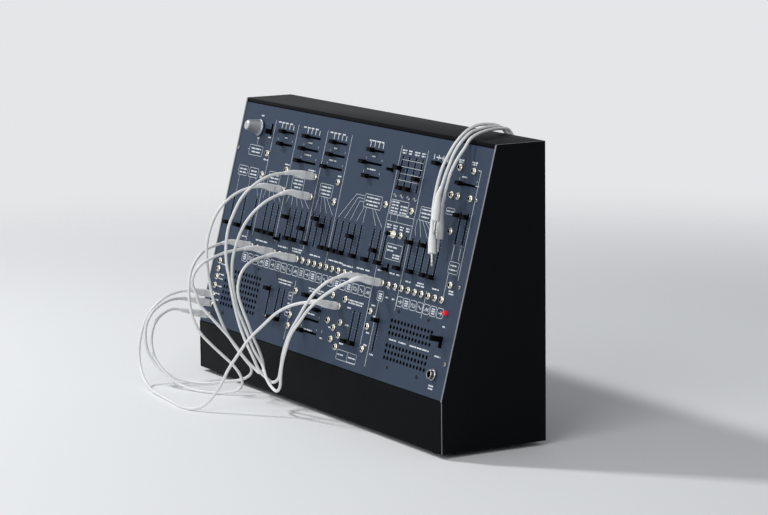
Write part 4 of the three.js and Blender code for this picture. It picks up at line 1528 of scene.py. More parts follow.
@dataclass(frozen=True)
class SocketField:
    """The small jack sockets: pale gold nuts in the sheet and black bodies behind it."""

    nut_radius: float = 3.9 * MM
    nut_height: float = 2.2 * MM
    nut_sides: int = 24
    sleeve_top: float = 3.0 * MM
    sleeve_radius: float = 2.7 * MM
    thread_radius: float = 2.75 * MM
    mouth_radius: float = 2.1 * MM
    bore_radius: float = 1.85 * MM
    bore_depth: float = 11.6 * MM
    bore_sides: int = 12
    body_width: float = 8.0 * MM
    body_edge: float = 0.5 * MM
    lug_half: float = 1.1 * MM
    lug_rise: float = 0.7 * MM
    lug_top: float = -6.0 * MM

    def places(self) -> list[Matrix]:
        """List the sockets' stands on the panel.

        Returns:
            A matrix for each socket, in the row frame.
        """
        row = [(column_share(column), ROW_SHARE) for column in ROW_COLUMNS]
        return [PLANE.stand(x, y) for x, y in row + rows_of(LOOSE_SOCKETS, 2)]

    def build(self) -> list[Object]:
        """Make the nuts, the dark bores and the bodies.

        Returns:
            The pieces.
        """
        places = self.places()
        nuts, bores, bodies = bmesh.new(), bmesh.new(), bmesh.new()
        stamp(nuts, self.nut(), places)
        stamp(bores, self.bore(), places)
        stamp(bodies, self.body(), places)
        LOG.info("%d sockets", len(places))
        return [
            new_piece("socket_nuts", nuts, SOCKET_NUT),
            new_piece("socket_bores", bores, MOULDED_CAP),
            new_piece("socket_bodies", bodies, MOULDED_CAP),
        ]

    def nut(self) -> BMesh:
        """Turn a nut with its threaded sleeve.

        Returns:
            The shape.
        """
        wide, top = self.nut_radius, SHEET_FACE + self.nut_height
        profile = [
            (self.thread_radius, SHEET_FACE), (wide, SHEET_FACE), (wide, top - 0.5 * MM),
            (wide - 0.45 * MM, top), (2.95 * MM, top), (2.85 * MM, top - 0.25 * MM),
            (self.sleeve_radius, top - 0.25 * MM),
            (self.sleeve_radius, self.sleeve_top - 0.25 * MM), (2.45 * MM, self.sleeve_top),
            (self.mouth_radius, self.sleeve_top), (self.mouth_radius, SHEET_FACE - 1 * MM),
            (self.thread_radius, SHEET_FACE - 1 * MM),
        ]
        return turned(profile, self.nut_sides, closed=True)

    def bore(self) -> BMesh:
        """Turn the black lining of a socket's bore, closed at its foot.

        Returns:
            The shape.
        """
        top, low = self.sleeve_top - 0.35 * MM, -self.bore_depth
        profile = [
            (0, low - 0.5 * MM), (self.mouth_radius, low - 0.5 * MM),
            (self.mouth_radius, top), (self.bore_radius, top), (self.bore_radius, low),
            (0, low),
        ]
        return turned(profile, self.bore_sides)

    def body(self) -> BMesh:
        """Shape a socket's moulded body with a lug on each side.

        Returns:
            The shape.
        """
        half = self.body_width / 2
        bm = bmesh.new()
        add_box(bm, (-half, -half, BOARD_FACE), (half, half, BODY_TOP), self.body_edge)
        for side in (-1, 1):
            low, high = sorted((side * (half - 0.4 * MM), side * (half + self.lug_rise)))
            add_box(bm, (low, -self.lug_half, BOARD_FACE), (high, self.lug_half, self.lug_top))
        return bm


@dataclass(frozen=True)
class SliderField:
    """The slide potentiometers: black caps on levers, over slotted tracks."""

    travel: float = 33.5 * MM
    cap_width: float = 9.0 * MM
    cap_length: float = 5.0 * MM
    cap_top_length: float = 4.2 * MM
    cap_bottom: float = 1.8 * MM
    cap_top: float = 7.8 * MM
    dish: float = 0.6 * MM
    lever_width: float = 1.4 * MM
    lever_length: float = 3.0 * MM
    shoe_half: Pair = (2.5 * MM, 4.0 * MM)
    edge: float = 0.3 * MM
    track_width: float = 7.0 * MM
    track_length: float = 45.5 * MM
    groove_half: float = 1.1 * MM
    groove_depth: float = 3.0 * MM

    def build(self) -> list[Object]:
        """Make the tracks, the sliders that move and the ones that stay.

        Returns:
            The pieces.
        """
        made = [self.moving(column) for column in MAIN_COLUMNS]
        fixed, tracks = bmesh.new(), bmesh.new()
        tracks_at = [PLANE.stand(column_share(column), MAIN_SHARE) for column in MAIN_COLUMNS]
        for level, table in ((False, UPRIGHT_SLIDERS), (True, LEVEL_SLIDERS)):
            along_slot = Vector((1, 0, 0)) if level else Vector((0, 1, 0))
            turn = Matrix.Rotation(math.radians(90 if level else 0), 4, "Z")
            rows = [(PLANE.stand(x, y), rest) for x, y, rest in rows_of(table, 3)]
            tracks_at += [at @ turn for at, _ in rows]
            steps = [along_slot * (rest - 0.5) * self.travel for _, rest in rows]
            caps_at = [at @ Matrix.Translation(step) for (at, _), step in zip(rows, steps)]
            stamp(fixed, self.slider(level, False), caps_at)
        stamp(tracks, self.track(), tracks_at)
        made.append(new_piece("slider_caps_fixed", fixed, MOULDED_CAP))
        made.append(new_piece("slider_tracks", tracks, SUPPLY_CASE))
        return made

    def moving(self, column: int) -> Object:
        """Make one slider that rides on its own body.

        Args:
            column: its column's number, from nought.

        Returns:
            The piece.
        """
        mark = f"{column + 1:02d}"
        node = f"slider_column_{mark}"
        stand = panel_box(node)[2]
        bm = placed(self.slider(False, True), stand)
        name = f"slider_cap_{mark}"
        piece = new_piece(name, bm, MOULDED_CAP, body=f"cap_{mark}")
        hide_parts(node)
        return piece

    def slider(self, level: bool, shoe: bool) -> BMesh:
        """Shape a cap with a dished top, its lever and its shoe.

        Args:
            level: whether its slot lies across the panel.
            shoe: whether the shoe under the sheet is made.

        Returns:
            The shape, standing on the middle of its place.
        """
        half, top_half, top = self.cap_length / 2, self.cap_top_length / 2, self.cap_top
        side = [
            (-half, self.cap_bottom), (half, self.cap_bottom),
            (half, self.cap_bottom + 1 * MM), (top_half, top), (top_half * 0.75, top),
            (top_half * 0.4, top - self.dish * 0.75), (0, top - self.dish),
            (-top_half * 0.4, top - self.dish * 0.75), (-top_half * 0.75, top),
            (-top_half, top), (-half, self.cap_bottom + 1 * MM),
        ]
        bm = bmesh.new()
        corners = [bm.verts.new((-self.cap_width / 2, y, z)) for y, z in side]
        face = bmesh.ops.contextual_create(bm, geom=corners)
        grown = bmesh.ops.extrude_face_region(bm, geom=face["faces"])["geom"]
        fresh = [part for part in grown if isinstance(part, BMVert)]
        bmesh.ops.translate(bm, vec=(self.cap_width, 0, 0), verts=fresh)
        bmesh.ops.recalc_face_normals(bm, faces=bm.faces)
        rims = [edge for edge in bm.edges if edge.is_manifold and edge.calc_face_angle(0.0) > 1.0]
        round_edges(bm, rims, self.edge, segments=1)
        sizes = (self.lever_length, self.lever_width)
        wide, long = sizes if level else sizes[::-1]
        foot = SHOE_TOP - 1 * MM if shoe else TRACK_TOP - 1 * MM
        top = self.cap_bottom + 1 * MM
        add_box(bm, (-wide / 2, -long / 2, foot), (wide / 2, long / 2, top))
        if shoe:
            x, y = self.shoe_half
            add_box(bm, (-x, -y, SHOE_BOTTOM), (x, y, SHOE_TOP), self.edge)
        return bm

    def track(self) -> BMesh:
        """Shape a potentiometer's body with a groove for its wiper.

        Returns:
            The shape.
        """
        wide, long, top = self.track_width / 2, self.track_length / 2, TRACK_TOP
        stock, groove = bmesh.new(), bmesh.new()
        add_box(stock, (-wide, -long, BOARD_FACE), (wide, long, top))
        half, end = self.groove_half, long - 3 * MM
        add_box(groove, (-half, -end, top - self.groove_depth), (half, end, top + 1 * MM))
        return carved(stock, groove)


@dataclass(frozen=True)
class CircuitBoard:
    """The green board behind the panel, with the switch bodies on it."""

    cut: float = 0.1 * MM
    switch_margin: float = 2.5 * MM
    switches: tuple[tuple[float, float, float, float], ...] = (
        (0.137, 0.8846, 4.3, 13.7),
        (0.711, 0.441, 4.3, 9.6),
        (0.652, 0.831, 4.3, 9.6),
        (0.265, 0.444, 4.3, 9.6),
        (0.952, 0.2188, 6.8, 12.6),
    )
    knob_shares: Pair = (0.0875, 0.8815)
    pot_radius: float = 8.0 * MM
    pot_sides: int = 32
    chip_half: Pair = (5.0 * MM, 3.2 * MM)
    chip_heights: Pair = (-19.4 * MM, -16.5 * MM)
    pin_heights: Pair = (-17.6 * MM, -16.2 * MM)
    pin_pitch: float = 1.27 * MM
    pin_half: float = 0.25 * MM
    pins: int = 7
    chip_rows: tuple[float, ...] = (0.3, 0.52, 0.7)
    chip_columns: tuple[float, float, int] = (0.3, 0.07, 9)

    def build(self) -> list[Object]:
        """Make the board and what stands on it.

        Returns:
            The pieces.
        """
        bm = copied("control_board")
        cut = bmesh.ops.bisect_plane(
            bm,
            geom=[*bm.verts, *bm.edges, *bm.faces],
            dist=1e-7,
            plane_co=PLANE.matrix @ Vector((0, 0, BOARD_FACE - self.cut)),
            plane_no=PLANE.normal,
            clear_outer=True,
        )
        rims = [part for part in cut["geom_cut"] if isinstance(part, BMEdge)]
        bmesh.ops.triangle_fill(bm, use_beauty=True, edges=rims, normal=PLANE.normal)
        bmesh.ops.recalc_face_normals(bm, faces=bm.faces)
        board = new_piece("circuit_board", bm, SOLDER_MASK)
        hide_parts("control_board")
        return [board, self.switch_bodies(), self.chips()]

    def switch_bodies(self) -> Object:
        """Fold the sheet bodies of the slide switches and of the knob's potentiometer.

        Returns:
            The piece.
        """
        bm = bmesh.new()
        for share_x, share_y, wide, long in self.switches:
            x, y = wide * MM / 2 + self.switch_margin, long * MM / 2 + self.switch_margin
            part = bmesh.new()
            add_box(part, (-x, -y, BOARD_FACE), (x, y, TRACK_TOP), 0.5 * MM)
            stamp(bm, part, [PLANE.stand(share_x, share_y)])
        radius, top = self.pot_radius, -7 * MM
        profile = [
            (0, BOARD_FACE), (radius - 0.4 * MM, BOARD_FACE),
            (radius, BOARD_FACE + 0.4 * MM), (radius, TRACK_TOP), (radius - 0.6 * MM, top),
            (3.4 * MM, top), (3.4 * MM, top + 0.1 * MM), (0, top + 0.1 * MM),
        ]
        stamp(bm, turned(profile, self.pot_sides), [PLANE.stand(*self.knob_shares)])
        return new_piece("switch_bodies", bm, ZINC_SHEET)

    def chips(self) -> Object:
        """Set rows of small moulded chips on the back of the board.

        Returns:
            The piece.
        """
        part = bmesh.new()
        (x, y), (low, high) = self.chip_half, self.chip_heights
        add_box(part, (-x, -y, low), (x, y, high), 0.3 * MM)
        foot, top = self.pin_heights
        for index in range(self.pins):
            x = (index - self.pins // 2) * self.pin_pitch
            for side in (-1, 1):
                near, far = sorted((side * 3.0 * MM, side * 4.4 * MM))
                add_box(part, (x - self.pin_half, near, foot), (x + self.pin_half, far, top))
        bm = bmesh.new()
        start, step, count = self.chip_columns
        places = [(start + step * i, row) for i in range(count) for row in self.chip_rows]
        stamp(bm, part, [PLANE.stand(*place) for place in places])
        return new_piece("board_chips", bm, MOULDED_CAP)


@dataclass(frozen=True)
class Loudspeaker:
    """A small loudspeaker behind its grille."""

    node: str
    shares: Pair
    frame_width: float = 72.0 * MM
    cone_radius: float = 33.0 * MM
    depth: float = 30.0 * MM
    magnet_radius: float = 15.0 * MM
    magnet_depth: float = 10.0 * MM
    sides: int = 48
    magnet_sides: int = 40

    def build(self) -> list[Object]:
        """Make the basket, the cone and the magnet.

        Returns:
            The pieces.
        """
        stand = PLANE.stand(*self.shares)
        top, floor = BODY_TOP, BODY_TOP - self.depth + self.magnet_depth
        half, rim = self.frame_width / 2, self.cone_radius
        stock, hole = bmesh.new(), bmesh.new()
        add_box(stock, (-half, -half, top - 2 * MM), (half, half, top), 0.6 * MM)
        bmesh.ops.create_cone(
            hole,
            cap_ends=True,
            segments=self.sides,
            radius1=rim - 0.6 * MM,
            radius2=rim - 0.6 * MM,
            depth=12 * MM,
            matrix=Matrix.Translation((0, 0, top)),
        )
        basket = carved(stock, hole)
        profile = [
            (rim, top - 1 * MM), (rim, top - 3 * MM), (self.magnet_radius + 3 * MM, floor),
            (self.magnet_radius + 2 * MM, floor + 1 * MM), (rim - 1.2 * MM, top - 2.4 * MM),
            (rim - 1.2 * MM, top - 1 * MM),
        ]
        stamp(basket, turned(profile, self.sides, closed=True), [Matrix()])
        profile = [
            (0, floor + 1.5 * MM), (self.magnet_radius + 1 * MM, floor + 2 * MM),
            (rim - 5 * MM, top - 3.4 * MM), (rim - 1.4 * MM, top - 2.2 * MM),
            (rim - 1.4 * MM, top - 1.6 * MM), (rim - 3 * MM, top - 0.8 * MM),
            (rim - 5 * MM, top - 2.6 * MM), (10 * MM, floor + 6 * MM),
            (8 * MM, floor + 9 * MM), (4 * MM, floor + 11 * MM), (0, floor + 11.6 * MM),
        ]
        cone = turned(profile, self.sides)
        radius, low = self.magnet_radius, top - self.depth
        profile = [
            (0, low), (radius - 0.6 * MM, low), (radius, low + 0.6 * MM),
            (radius, floor - 3 * MM), (radius + 1.4 * MM, floor - 2.8 * MM),
            (radius + 1.4 * MM, floor), (0, floor),
        ]
        magnet = turned(profile, self.magnet_sides)
        pieces = [
            new_piece(f"{self.node}_{mark}", placed(bm, stand), finish)
            for mark, bm, finish in (
                ("basket", basket, SUPPLY_CASE),
                ("cone", cone, CONE_PAPER),
                ("magnet", magnet, ZINC_SHEET),
            )
        ]
        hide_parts(self.node)
        return pieces


# Knob, switches, button, lamp and headphone socket

@dataclass(frozen=True)
class TallKnob:
    """The tall fluted knob with a spun disc on its top."""

    node: str = "gain_knob"
    base_radius: float = 10.0 * MM
    top_radius: float = 6.0 * MM
    skirt: float = 2.0 * MM
    lift: float = 0.4 * MM
    height: float = 18.4 * MM
    shank: float = 3.0 * MM
    flutes: int = 24
    flute_share: float = 0.94
    disc_sides: int = 40
    line_width: float = 0.5 * MM
    line_depth: float = 0.9 * MM

    def build(self) -> list[Object]:
        """Make the knob, its disc and its pointer line.

        Returns:
            The pieces.
        """
        low, _, stand = panel_box(self.node)
        foot, top = self.lift, self.lift + self.height
        wide, narrow = self.base_radius, self.top_radius
        profile = [
            (0, low.z), (self.shank, low.z), (self.shank, foot), (wide - 0.4 * MM, foot),
            (wide, foot + 0.4 * MM), (wide, foot + self.skirt),
            (wide - 0.5 * MM, foot + self.skirt + 0.4 * MM),
            (9.0 * MM, foot + self.skirt + 0.9 * MM), (8.6 * MM, foot + 4.4 * MM),
            (narrow + 0.2 * MM, top - 1.4 * MM), (narrow - 0.2 * MM, top - 0.5 * MM),
            (narrow - 0.9 * MM, top), (0, top),
        ]
        knob = turned(profile, self.flutes * 2)
        flank = [vert for vert in knob.verts if foot + 4 * MM < vert.co.z < top - 1 * MM]
        fluted(flank, self.flutes, self.flute_share)
        profile = [
            (0, top - 0.1 * MM), (narrow - 1.0 * MM, top - 0.1 * MM),
            (narrow - 1.0 * MM, top + 0.3 * MM), (narrow - 1.4 * MM, top + 0.6 * MM),
            (narrow - 2.2 * MM, top + 0.45 * MM), (0, top + 0.35 * MM),
        ]
        disc = turned(profile, self.disc_sides)
        line = bmesh.new()
        start = Vector((0, 8.9 * MM, foot + 3.4 * MM))
        stop = Vector((0, narrow + 0.25 * MM, top - 1.2 * MM))
        run = stop - start
        turn = run.to_track_quat("Z", "X").to_matrix().to_4x4()
        size = Matrix.Diagonal((self.line_width, self.line_depth, run.length, 1))
        middle = Matrix.Translation((start + stop) / 2)
        bmesh.ops.create_cube(line, size=1, matrix=middle @ turn @ size)
        pieces = [
            new_piece(f"gain_knob_{mark}", placed(bm, stand), finish, body="knob")
            for mark, bm, finish, slot in (
                ("moulding", knob, TURNED_METAL, "jack_steel"),
                ("disc", disc, SPUN_DISC, "jack_steel"),
                ("pointer", line, SCREEN_INK, "cord_white"),
            )
        ]
        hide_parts(self.node)
        return pieces


@dataclass(frozen=True)
class SlideSwitch:
    """A slide switch's moulded lever with grip ridges."""

    name: str
    body: str
    node: str | None
    shares: Pair
    lever: tuple[float, float, float]
    offset: float = 0.0
    ridge_pitch: float = 1.3 * MM
    ridge_half: float = 0.35 * MM
    ridge_height: float = 0.8 * MM

    def build(self) -> Object:
        """Make the lever.

        Returns:
            The piece.
        """
        wide, long, high = (size * MM for size in self.lever)
        if self.node:
            low, up, stand = panel_box(self.node)
            shoe = (up - low) / 2
        else:
            place = PLANE.place(*self.shares) + Vector((0, self.offset, 0))
            stand = PLANE.matrix @ Matrix.Translation(place)
            shoe = Vector((wide / 2, long / 2, 0))
        bm = bmesh.new()
        low, up = (-shoe.x, -shoe.y, SHOE_BOTTOM), (shoe.x, shoe.y, SHOE_TOP)
        add_box(bm, low, up, 0.3 * MM)
        x, y, top = wide / 2, long / 2, SHEET_FACE + high
        add_box(bm, (-x, -y, SHOE_TOP - 0.5 * MM), (x, y, top - self.ridge_height), 0.35 * MM)
        count = max(3, round(long / self.ridge_pitch))
        x, foot = x - 0.3 * MM, top - self.ridge_height - 0.3 * MM
        for index in range(count):
            y = (index + 0.5) / count * long - long / 2
            low, up = (-x, y - self.ridge_half, foot), (x, y + self.ridge_half, top)
            add_box(bm, low, up, 0.12 * MM)
        name, bm = f"{self.name}_lever", placed(bm, stand)
        piece = new_piece(name, bm, MOULDED_CAP, body=self.body)
        if self.node:
            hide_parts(self.node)
        return piece


@dataclass(frozen=True)
class GateButton:
    """The push button in its gold threaded collar."""

    node: str = "gate_button"
    collar: float = 3.1 * MM
    collar_top: float = 5.4 * MM
    nut: float = 4.6 * MM
    nut_height: float = 1.6 * MM
    threads: int = 5
    thread_pitch: float = 0.75 * MM
    thread_depth: float = 0.28 * MM
    bore: float = 2.25 * MM
    cap: float = 2.4 * MM
    cap_rise: float = 1.8 * MM
    stem: float = 1.6 * MM
    body_half: float = 4.5 * MM
    sides: int = 28

    def build(self) -> list[Object]:
        """Make the collar with its nut, and the cap on its stem.

        Returns:
            The pieces.
        """
        low, high, stand = panel_box(self.node)
        core, nut_top = self.collar - 0.1 * MM, SHEET_FACE + self.nut_height
        threads = []
        for index in range(self.threads):
            height = SHEET_FACE + 2.0 * MM + index * self.thread_pitch
            threads.append((self.collar, height))
            threads.append((self.collar - self.thread_depth, height + 0.37 * MM))
        profile = [
            (self.bore, BODY_TOP), (core, BODY_TOP), (core, SHEET_FACE),
            (self.nut, SHEET_FACE), (self.nut, nut_top - 0.4 * MM),
            (self.nut - 0.4 * MM, nut_top), (core, nut_top),
            *threads,
            (core, self.collar_top - 0.3 * MM), (self.collar - 0.4 * MM, self.collar_top),
            (self.bore, self.collar_top),
        ]
        collar = turned(profile, self.sides, closed=True)
        foot = self.collar_top + self.cap_rise
        profile = [
            (0, low.z), (self.stem, low.z), (self.stem, foot), (self.cap - 0.2 * MM, foot),
            (self.cap, foot + 0.2 * MM), (self.cap, high.z - 0.6 * MM),
            (self.cap - 0.5 * MM, high.z - 0.1 * MM), (self.cap - 1.2 * MM, high.z),
            (0, high.z - 0.15 * MM),
        ]
        cap = turned(profile, self.sides)
        body = bmesh.new()
        half = self.body_half
        add_box(body, (-half, -half, BOARD_FACE), (half, half, BODY_TOP), 0.4 * MM)
        made = [
            new_piece(f"gate_button_{mark}", placed(bm, stand), finish, body=rides_on)
            for mark, bm, finish, rides_on, slot in (
                ("collar", collar, SOCKET_NUT, "case", "jack_steel"),
                ("cap", cap, MOULDED_CAP, "button", "cap_black"),
                ("body", body, MOULDED_CAP, "case", "cap_black"),
            )
        ]
        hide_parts(self.node)
        return made


@dataclass(frozen=True)
class HeadphoneSocket:
    """The quarter-inch socket with its knurled nut."""

    node: str = "headphone_jack"
    shares: Pair = (0.951, 0.0908)
    nut: float = 6.6 * MM
    nut_height: float = 2.6 * MM
    bush: float = 4.9 * MM
    bush_rise: float = 3.6 * MM
    bore: float = 3.5 * MM
    depth: float = 24.0 * MM
    body_half: float = 8.0 * MM
    teeth: int = 30
    tooth_share: float = 0.965
    lining_sides: int = 32

    def build(self) -> list[Object]:
        """Make the nut with its bush, and the moulded body with its bore.

        Returns:
            The pieces.
        """
        top = SHEET_FACE + self.nut_height
        rim, inside = top + self.bush_rise, self.bore + 0.2 * MM
        profile = [
            (self.bush - 0.2 * MM, SHEET_FACE), (self.nut - 0.3 * MM, SHEET_FACE),
            (self.nut, SHEET_FACE + 0.4 * MM), (self.nut, top - 0.8 * MM),
            (self.nut - 0.8 * MM, top), (self.bush + 0.4 * MM, top),
            (self.bush, top - 0.4 * MM), (self.bush, rim - 0.4 * MM),
            (self.bush - 0.5 * MM, rim), (self.bore + 0.5 * MM, rim),
            (inside, rim - 0.4 * MM), (inside, SHEET_FACE - 1 * MM),
            (self.bush - 0.2 * MM, SHEET_FACE - 1 * MM),
        ]
        metal = turned(profile, self.teeth * 2, closed=True)
        flank = [v for v in metal.verts if math.hypot(v.co.x, v.co.y) > self.nut - 0.2 * MM]
        fluted(flank, self.teeth, self.tooth_share)
        stock, hole = bmesh.new(), bmesh.new()
        half = self.body_half
        add_box(stock, (-half, -half, BODY_TOP - self.depth), (half, half, BODY_TOP), 0.8 * MM)
        for bm, radius, low, high in (
            (stock, inside, BODY_TOP - 0.5 * MM, top + 0.9 * MM),
            (hole, self.bore, SHEET_FACE - self.depth, top + 3 * MM),
        ):
            profile = [(0, low), (radius, low), (radius, high), (0, high)]
            stamp(bm, turned(profile, self.lining_sides), [Matrix()])
        stand = PLANE.stand(*self.shares)
        made = [
            new_piece(f"headphone_{mark}", placed(bm, stand), finish)
            for mark, bm, finish, slot in (
                ("nut", metal, NICKEL_PLATE, "jack_steel"),
                ("body", carved(stock, hole), MOULDED_CAP, "cap_black"),
            )
        ]
        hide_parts(self.node)
        return made


@dataclass(frozen=True)
class PowerLamp:
    """The small red lamp."""

    node: str = "power_led"
    shares: Pair = (0.95, 0.3316)
    radius: float = 1.5 * MM
    head: float = 2.6 * MM
    foot: float = -14.3 * MM
    shoulder: float = 1.6 * MM
    dome: float = 2.5 * MM
    dome_step: int = 15
    sides: int = 24

    def build(self) -> Object:
        """Turn the lens.

        Returns:
            The piece.
        """
        head, shoulder, dome = self.head, self.shoulder, self.dome
        turns = [math.radians(turn) for turn in range(0, 90, self.dome_step)]
        profile = [
            (0, self.foot), (self.radius, self.foot), (self.radius, SHEET_FACE),
            (head, SHEET_FACE),
            *((head * math.cos(turn), shoulder + dome * math.sin(turn)) for turn in turns),
            (0, shoulder + dome),
        ]
        bm = turned(profile, self.sides, PLANE.stand(*self.shares))
        piece = new_piece("power_lamp_lens", bm, LAMP_LENS)
        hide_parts(self.node)
        return piece


# Inside the case

@dataclass(frozen=True)
class Innards:
    """The spring tank and the power supply with its mains inlet."""

    tank_fold: float = 0.3 * MM
    supply_fold: float = 0.8 * MM
    rib: float = 1.2 * MM
    tank_ribs: tuple[float, ...] = (0.25, 0.5, 0.75)
    supply_ribs: tuple[float, float, int] = (0.15, 0.0875, 9)
    inlet_height: float = 20.0 * MM
    pin_places: tuple[Pair, ...] = ((-6.8, -1.8), (6.8, -1.8), (0, 2.6))

    def build(self) -> list[Object]:
        """Make both, with the inlet's pins.

        Returns:
            The pieces.
        """
        return [self.tank(), self.supply(), self.pins()]

    def tank(self) -> Object:
        """Make the tank with pressed ribs on its front.

        Returns:
            The piece.
        """
        bm = softened("reverb_tank", self.tank_fold)
        low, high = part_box("reverb_tank")
        for share in self.tank_ribs:
            z = low.z + (high.z - low.z) * share
            near = (low.x + 15 * MM, low.y - self.rib, z - 3 * MM)
            add_box(bm, near, (high.x - 15 * MM, low.y + 0.2 * MM, z + 3 * MM), 0.5 * MM)
        piece = new_piece("spring_tank", bm, ZINC_SHEET)
        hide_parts("reverb_tank")
        return piece

    def supply(self) -> Object:
        """Make the supply's housing with cooling ribs on its top.

        Returns:
            The piece.
        """
        bm = softened("power_supply", self.supply_fold)
        low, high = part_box("power_supply")
        start, step, count = self.supply_ribs
        for index in range(count):
            x = low.x + (high.x - low.x) * (start + index * step)
            near = (x - 1.5 * MM, low.y + 8 * MM, high.z - 0.2 * MM)
            add_box(bm, near, (x + 1.5 * MM, high.y - 14 * MM, high.z + self.rib), 0.4 * MM)
        piece = new_piece("supply_housing", bm, SUPPLY_CASE)
        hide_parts("power_supply")
        return piece

    def pins(self) -> Object:
        """Set three flat pins in the mains inlet.

        Returns:
            The piece.
        """
        low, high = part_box("power_supply")
        x, z = (low.x + high.x) / 2, low.z + self.inlet_height
        bm = bmesh.new()
        for across, up in self.pin_places:
            place = Vector((x + across * MM, high.y, z + up * MM))
            root = place + Vector((-1 * MM, -15.4 * MM, -2 * MM))
            add_box(bm, root, place + Vector((1 * MM, -2 * MM, 2 * MM)), 0.4 * MM)
        return new_piece("inlet_pins", bm, NICKEL_PLATE)


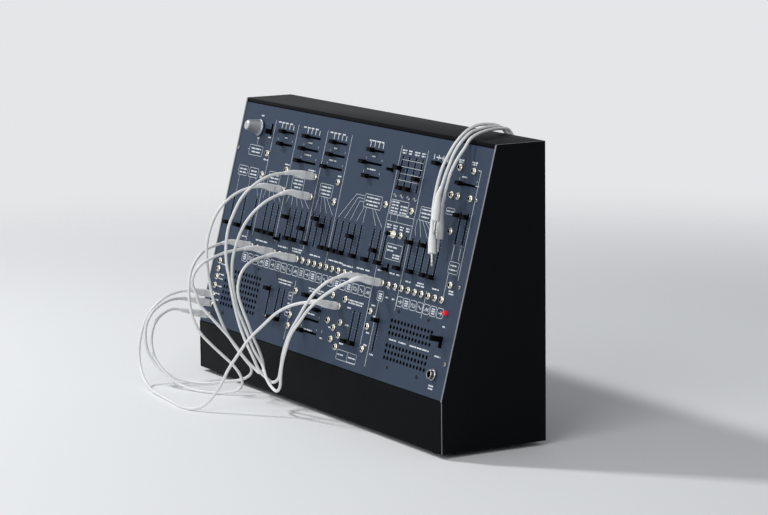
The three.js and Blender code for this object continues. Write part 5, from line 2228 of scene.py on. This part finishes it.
CORDS = (
    PatchCord(
        "patch_cord_1",
        """
        -263 -12 96, -263 -21 99, -265 -47 96, -265 -65 87, -264 -79 73, -262 -88 56,
        -256 -95 37, -246 -99 20, -228 -103 7, -204 -106 -1.8, -167 -111 -2.6, -132 -114 -3,
        -98 -117 -3, -78 -113 -2.4, -66 -105 2, -58 -98 12, -52 -90 26, -45 -83 45, -38 -75 61,
        -30 -64 80, -19 -51 97, -4 -40 113, 13 -28 123, 36 -13 128, 36 -5 126
        """,
        ((0.038, 0.128), (0.563, 0.2374)),
    ),
    PatchCord(
        "patch_cord_2",
        """
        -263 -15 86, -263 -24 88, -259 -47 91, -255 -65 87, -251 -79 79, -247 -89 66,
        -242 -93 51, -241 -90 33.5, -233.5 -85.5 21.5, -221.5 -78.5 12,
        -209.5 -69.5 6, -191 -58 3, -169 -46 4, -153 -28 7, -142 -15 10,
        -134 -9 17, -129 -11 26, -128 -19 36, -131 -29 51, -136 -38 68,
        -140 -45 87, -143 -51 107, -145 -55 130,
        -146 -57 152, -147 -56 174, -148 -50 193, -149 -40 210, -149 -27 222,
        -148 -11 231, -146 15 236, -146 24 234
        """,
        ((0.038, 0.088), (0.243, 0.642)),
    ),
    PatchCord(
        "patch_cord_3",
        """
        -263 -19 72, -263 -27 74, -264 -47 78, -262 -60 74, -258 -72 65, -252 -80 52,
        -242.5 -84.5 38.5, -230 -85 25.5, -216.5 -81 13.5, -200 -74 3, -178 -65 -2.4,
        -153 -54 -2.9, -134 -40 -1.9, -127 -30 1, -127 -24 8, -131 -24 17, -138 -29 28,
        -145 -39 40, -150 -51 53, -156 -62 67, -163 -68 84, -170 -69 103, -176 -66 122,
        -181 -60 139, -185 -49 152, -189 -35 160, -193 -4 165, -193 5 163
        """,
        ((0.038, 0.036), (column_share(5), ROW_SHARE)),
    ),
    PatchCord(
        "patch_cord_4",
        """
        -79 30 256, -79 21 258, -79 -10 256, -80 -30 246, -80 -44 234, -80 -54 218,
        -81 -61 201, -82 -64 181, -82 -64 162, -82 -61 143, -79 -59 124, -77 -56 106,
        -73 -53 88, -65 -50 71, -55 -46.5 55, -48.5 -41.5 38.5, -39 -36 30, -28 -35 28,
        -17 -34 34, -7 -36 48, 4 -39 65, 17 -41 82, 30 -42 97, 46 -41 114,
        62 -39 132, 76 -34 148, 86 -25 159, 89 -4 165, 89 5 163
        """,
        ((0.362, 0.727), (column_share(25), ROW_SHARE)),
    ),
    PatchCord(
        "patch_cord_5",
        """
        -79 24 234, -79 15 236, -80 -7 230, -82 -20 222, -85 -31 211, -88 -40 197,
        -91 -46 180, -94 -50 161, -94 -51 143, -92 -50 124, -88 -48 106, -81 -45 90,
        -71 -43 74, -62 -40.5 59, -46.5 -38.5 45, -32 -41 32, -19 -41 24, -8 -41 22,
        2 -42 29, 10 -45 43, 18 -47 59, 29 -48 77, 42 -48 96, 57 -45 112,
        74 -42 129, 90 -35 143, 103 -25 154, 117 -4 165, 117 5 163
        """,
        ((0.362, 0.642), (column_share(27), ROW_SHARE)),
    ),
    PatchCord(
        "patch_cord_6",
        """
        -137 5 163, -137 -4 165, -137 -35 163, -138 -54 158, -138 -69 151, -138 -78 141,
        -137 -81 130, -135 -77 118, -136 -73 106, -132 -64 94, -127 -54 81, -122 -44 68,
        -117 -35 54, -111 -26 39, -103 -20 30, -95 -18 26, -85 -18 30, -77 -22 41, -73 -29 57,
        -71 -37 73, -69 -45 92, -69 -52 110, -70 -56 126, -72 -54 140, -75 -47 151, -78 -34 160,
        -80 -4 165, -80 5 163
        """,
        ((column_share(9), ROW_SHARE), (column_share(13), ROW_SHARE)),
    ),
    PatchCord(
        "spare_cord_1",
        """
        231.5 22.5 223.5, 228.5 24.5 231.5, 221 29.5 247.5, 217 34.5 263, 217 39 280,
        218 44 295, 219 50 306, 219 57 316, 218 65 324, 216.5 75 331, 213.5 86 335,
        210.5 97 336, 207 109 335, 203.5 120 333, 201 129 329, 199 135 323, 197.6 139 315,
        196.3 140 303, 194.5 140 285, 194 139 250, 193 138 210, 192 137 170, 192 137 130,
        192 137 112, 192 137 103
        """,
    ),
    PatchCord(
        "spare_cord_2",
        """
        231.7 28.9 257.3, 229.8 31.5 266.3, 228.7 36.4 276, 227.5 41.4 287, 227.1 46.8 298,
        226.6 52.1 308, 227 58 317, 227 66 325, 224.5 75 330, 221 86 332, 217.5 97 333,
        214 108 333, 210 119 332, 206 128 329, 203.5 134 324, 202 139 316, 201 140 302,
        201 140 282, 202 139 250, 204 138 215, 206 137 175, 206 137 140, 206 137 122,
        206 137 113
        """,
    ),
    PatchCord(
        "spare_cord_3",
        """
        224 37 237, 223 38.5 246, 226 40.5 262, 229 42 275, 232 44.5 288, 234 49 299,
        236 54 308, 237 60 316, 238 66 325, 235.5 76 329, 232.5 86 331, 229.5 96 332,
        226 105 332, 220 118 331, 215 128 329, 212 134 324, 210 139 316, 210 140 302,
        210.5 140 282, 213 139 250, 217 138 215, 220 137 175, 221 137 140, 221 137 110,
        221 137 90, 221 137 81
        """,
    ),
)

SWITCHES = (
    SlideSwitch("range_switch", "range_lever", "range_switch", (0.137, 0.8846), (3.6, 6.0, 8.0)),
    SlideSwitch("mode_switch", "mode_lever", "mode_switch", (0.711, 0.441), (3.6, 3.6, 8.0)),
    SlideSwitch("filter_switch", "filter_lever", "filter_switch", (0.652, 0.831), (3.6, 3.6, 8.0)),
    SlideSwitch("power_switch", "power_lever", "power_switch", (0.952, 0.2188), (5.0, 6.0, 14.0)),
    SlideSwitch("fixed_switch", "case", None, (0.265, 0.444), (3.6, 3.6, 8.0), -2 * MM),
)

SPEAKERS = (
    Loudspeaker("speaker_left", (0.1488, 0.176)),
    Loudspeaker("speaker_right", (0.84, 0.1746)),
)


def main() -> None:
    """Build the object."""
    logging.basicConfig(level=logging.INFO, format="%(name)s: %(message)s")
    bpy.context.scene.view_settings.view_transform = "Standard"
    Studio().build()
    for cord in CORDS:
        cord.build()
    steps = (
        ("case", SheetCase()),
        ("control panel", ControlPanel()),
        ("sockets", SocketField()),
        ("sliders", SliderField()),
        ("circuit board", CircuitBoard()),
        *((speaker.node, speaker) for speaker in SPEAKERS),
        ("knob", TallKnob()),
        *((switch.name, switch) for switch in SWITCHES),
        ("button", GateButton()),
        ("headphone socket", HeadphoneSocket()),
        ("lamp", PowerLamp()),
        ("inside", Innards()),
    )
    for name, assembly in steps:
        made = assembly.build()
        for piece in made if isinstance(made, list) else [made]:
            LOG.info("%s: %s, %d faces", name, piece.name, len(piece.data.polygons))


if __name__ == "__main__":
    main()
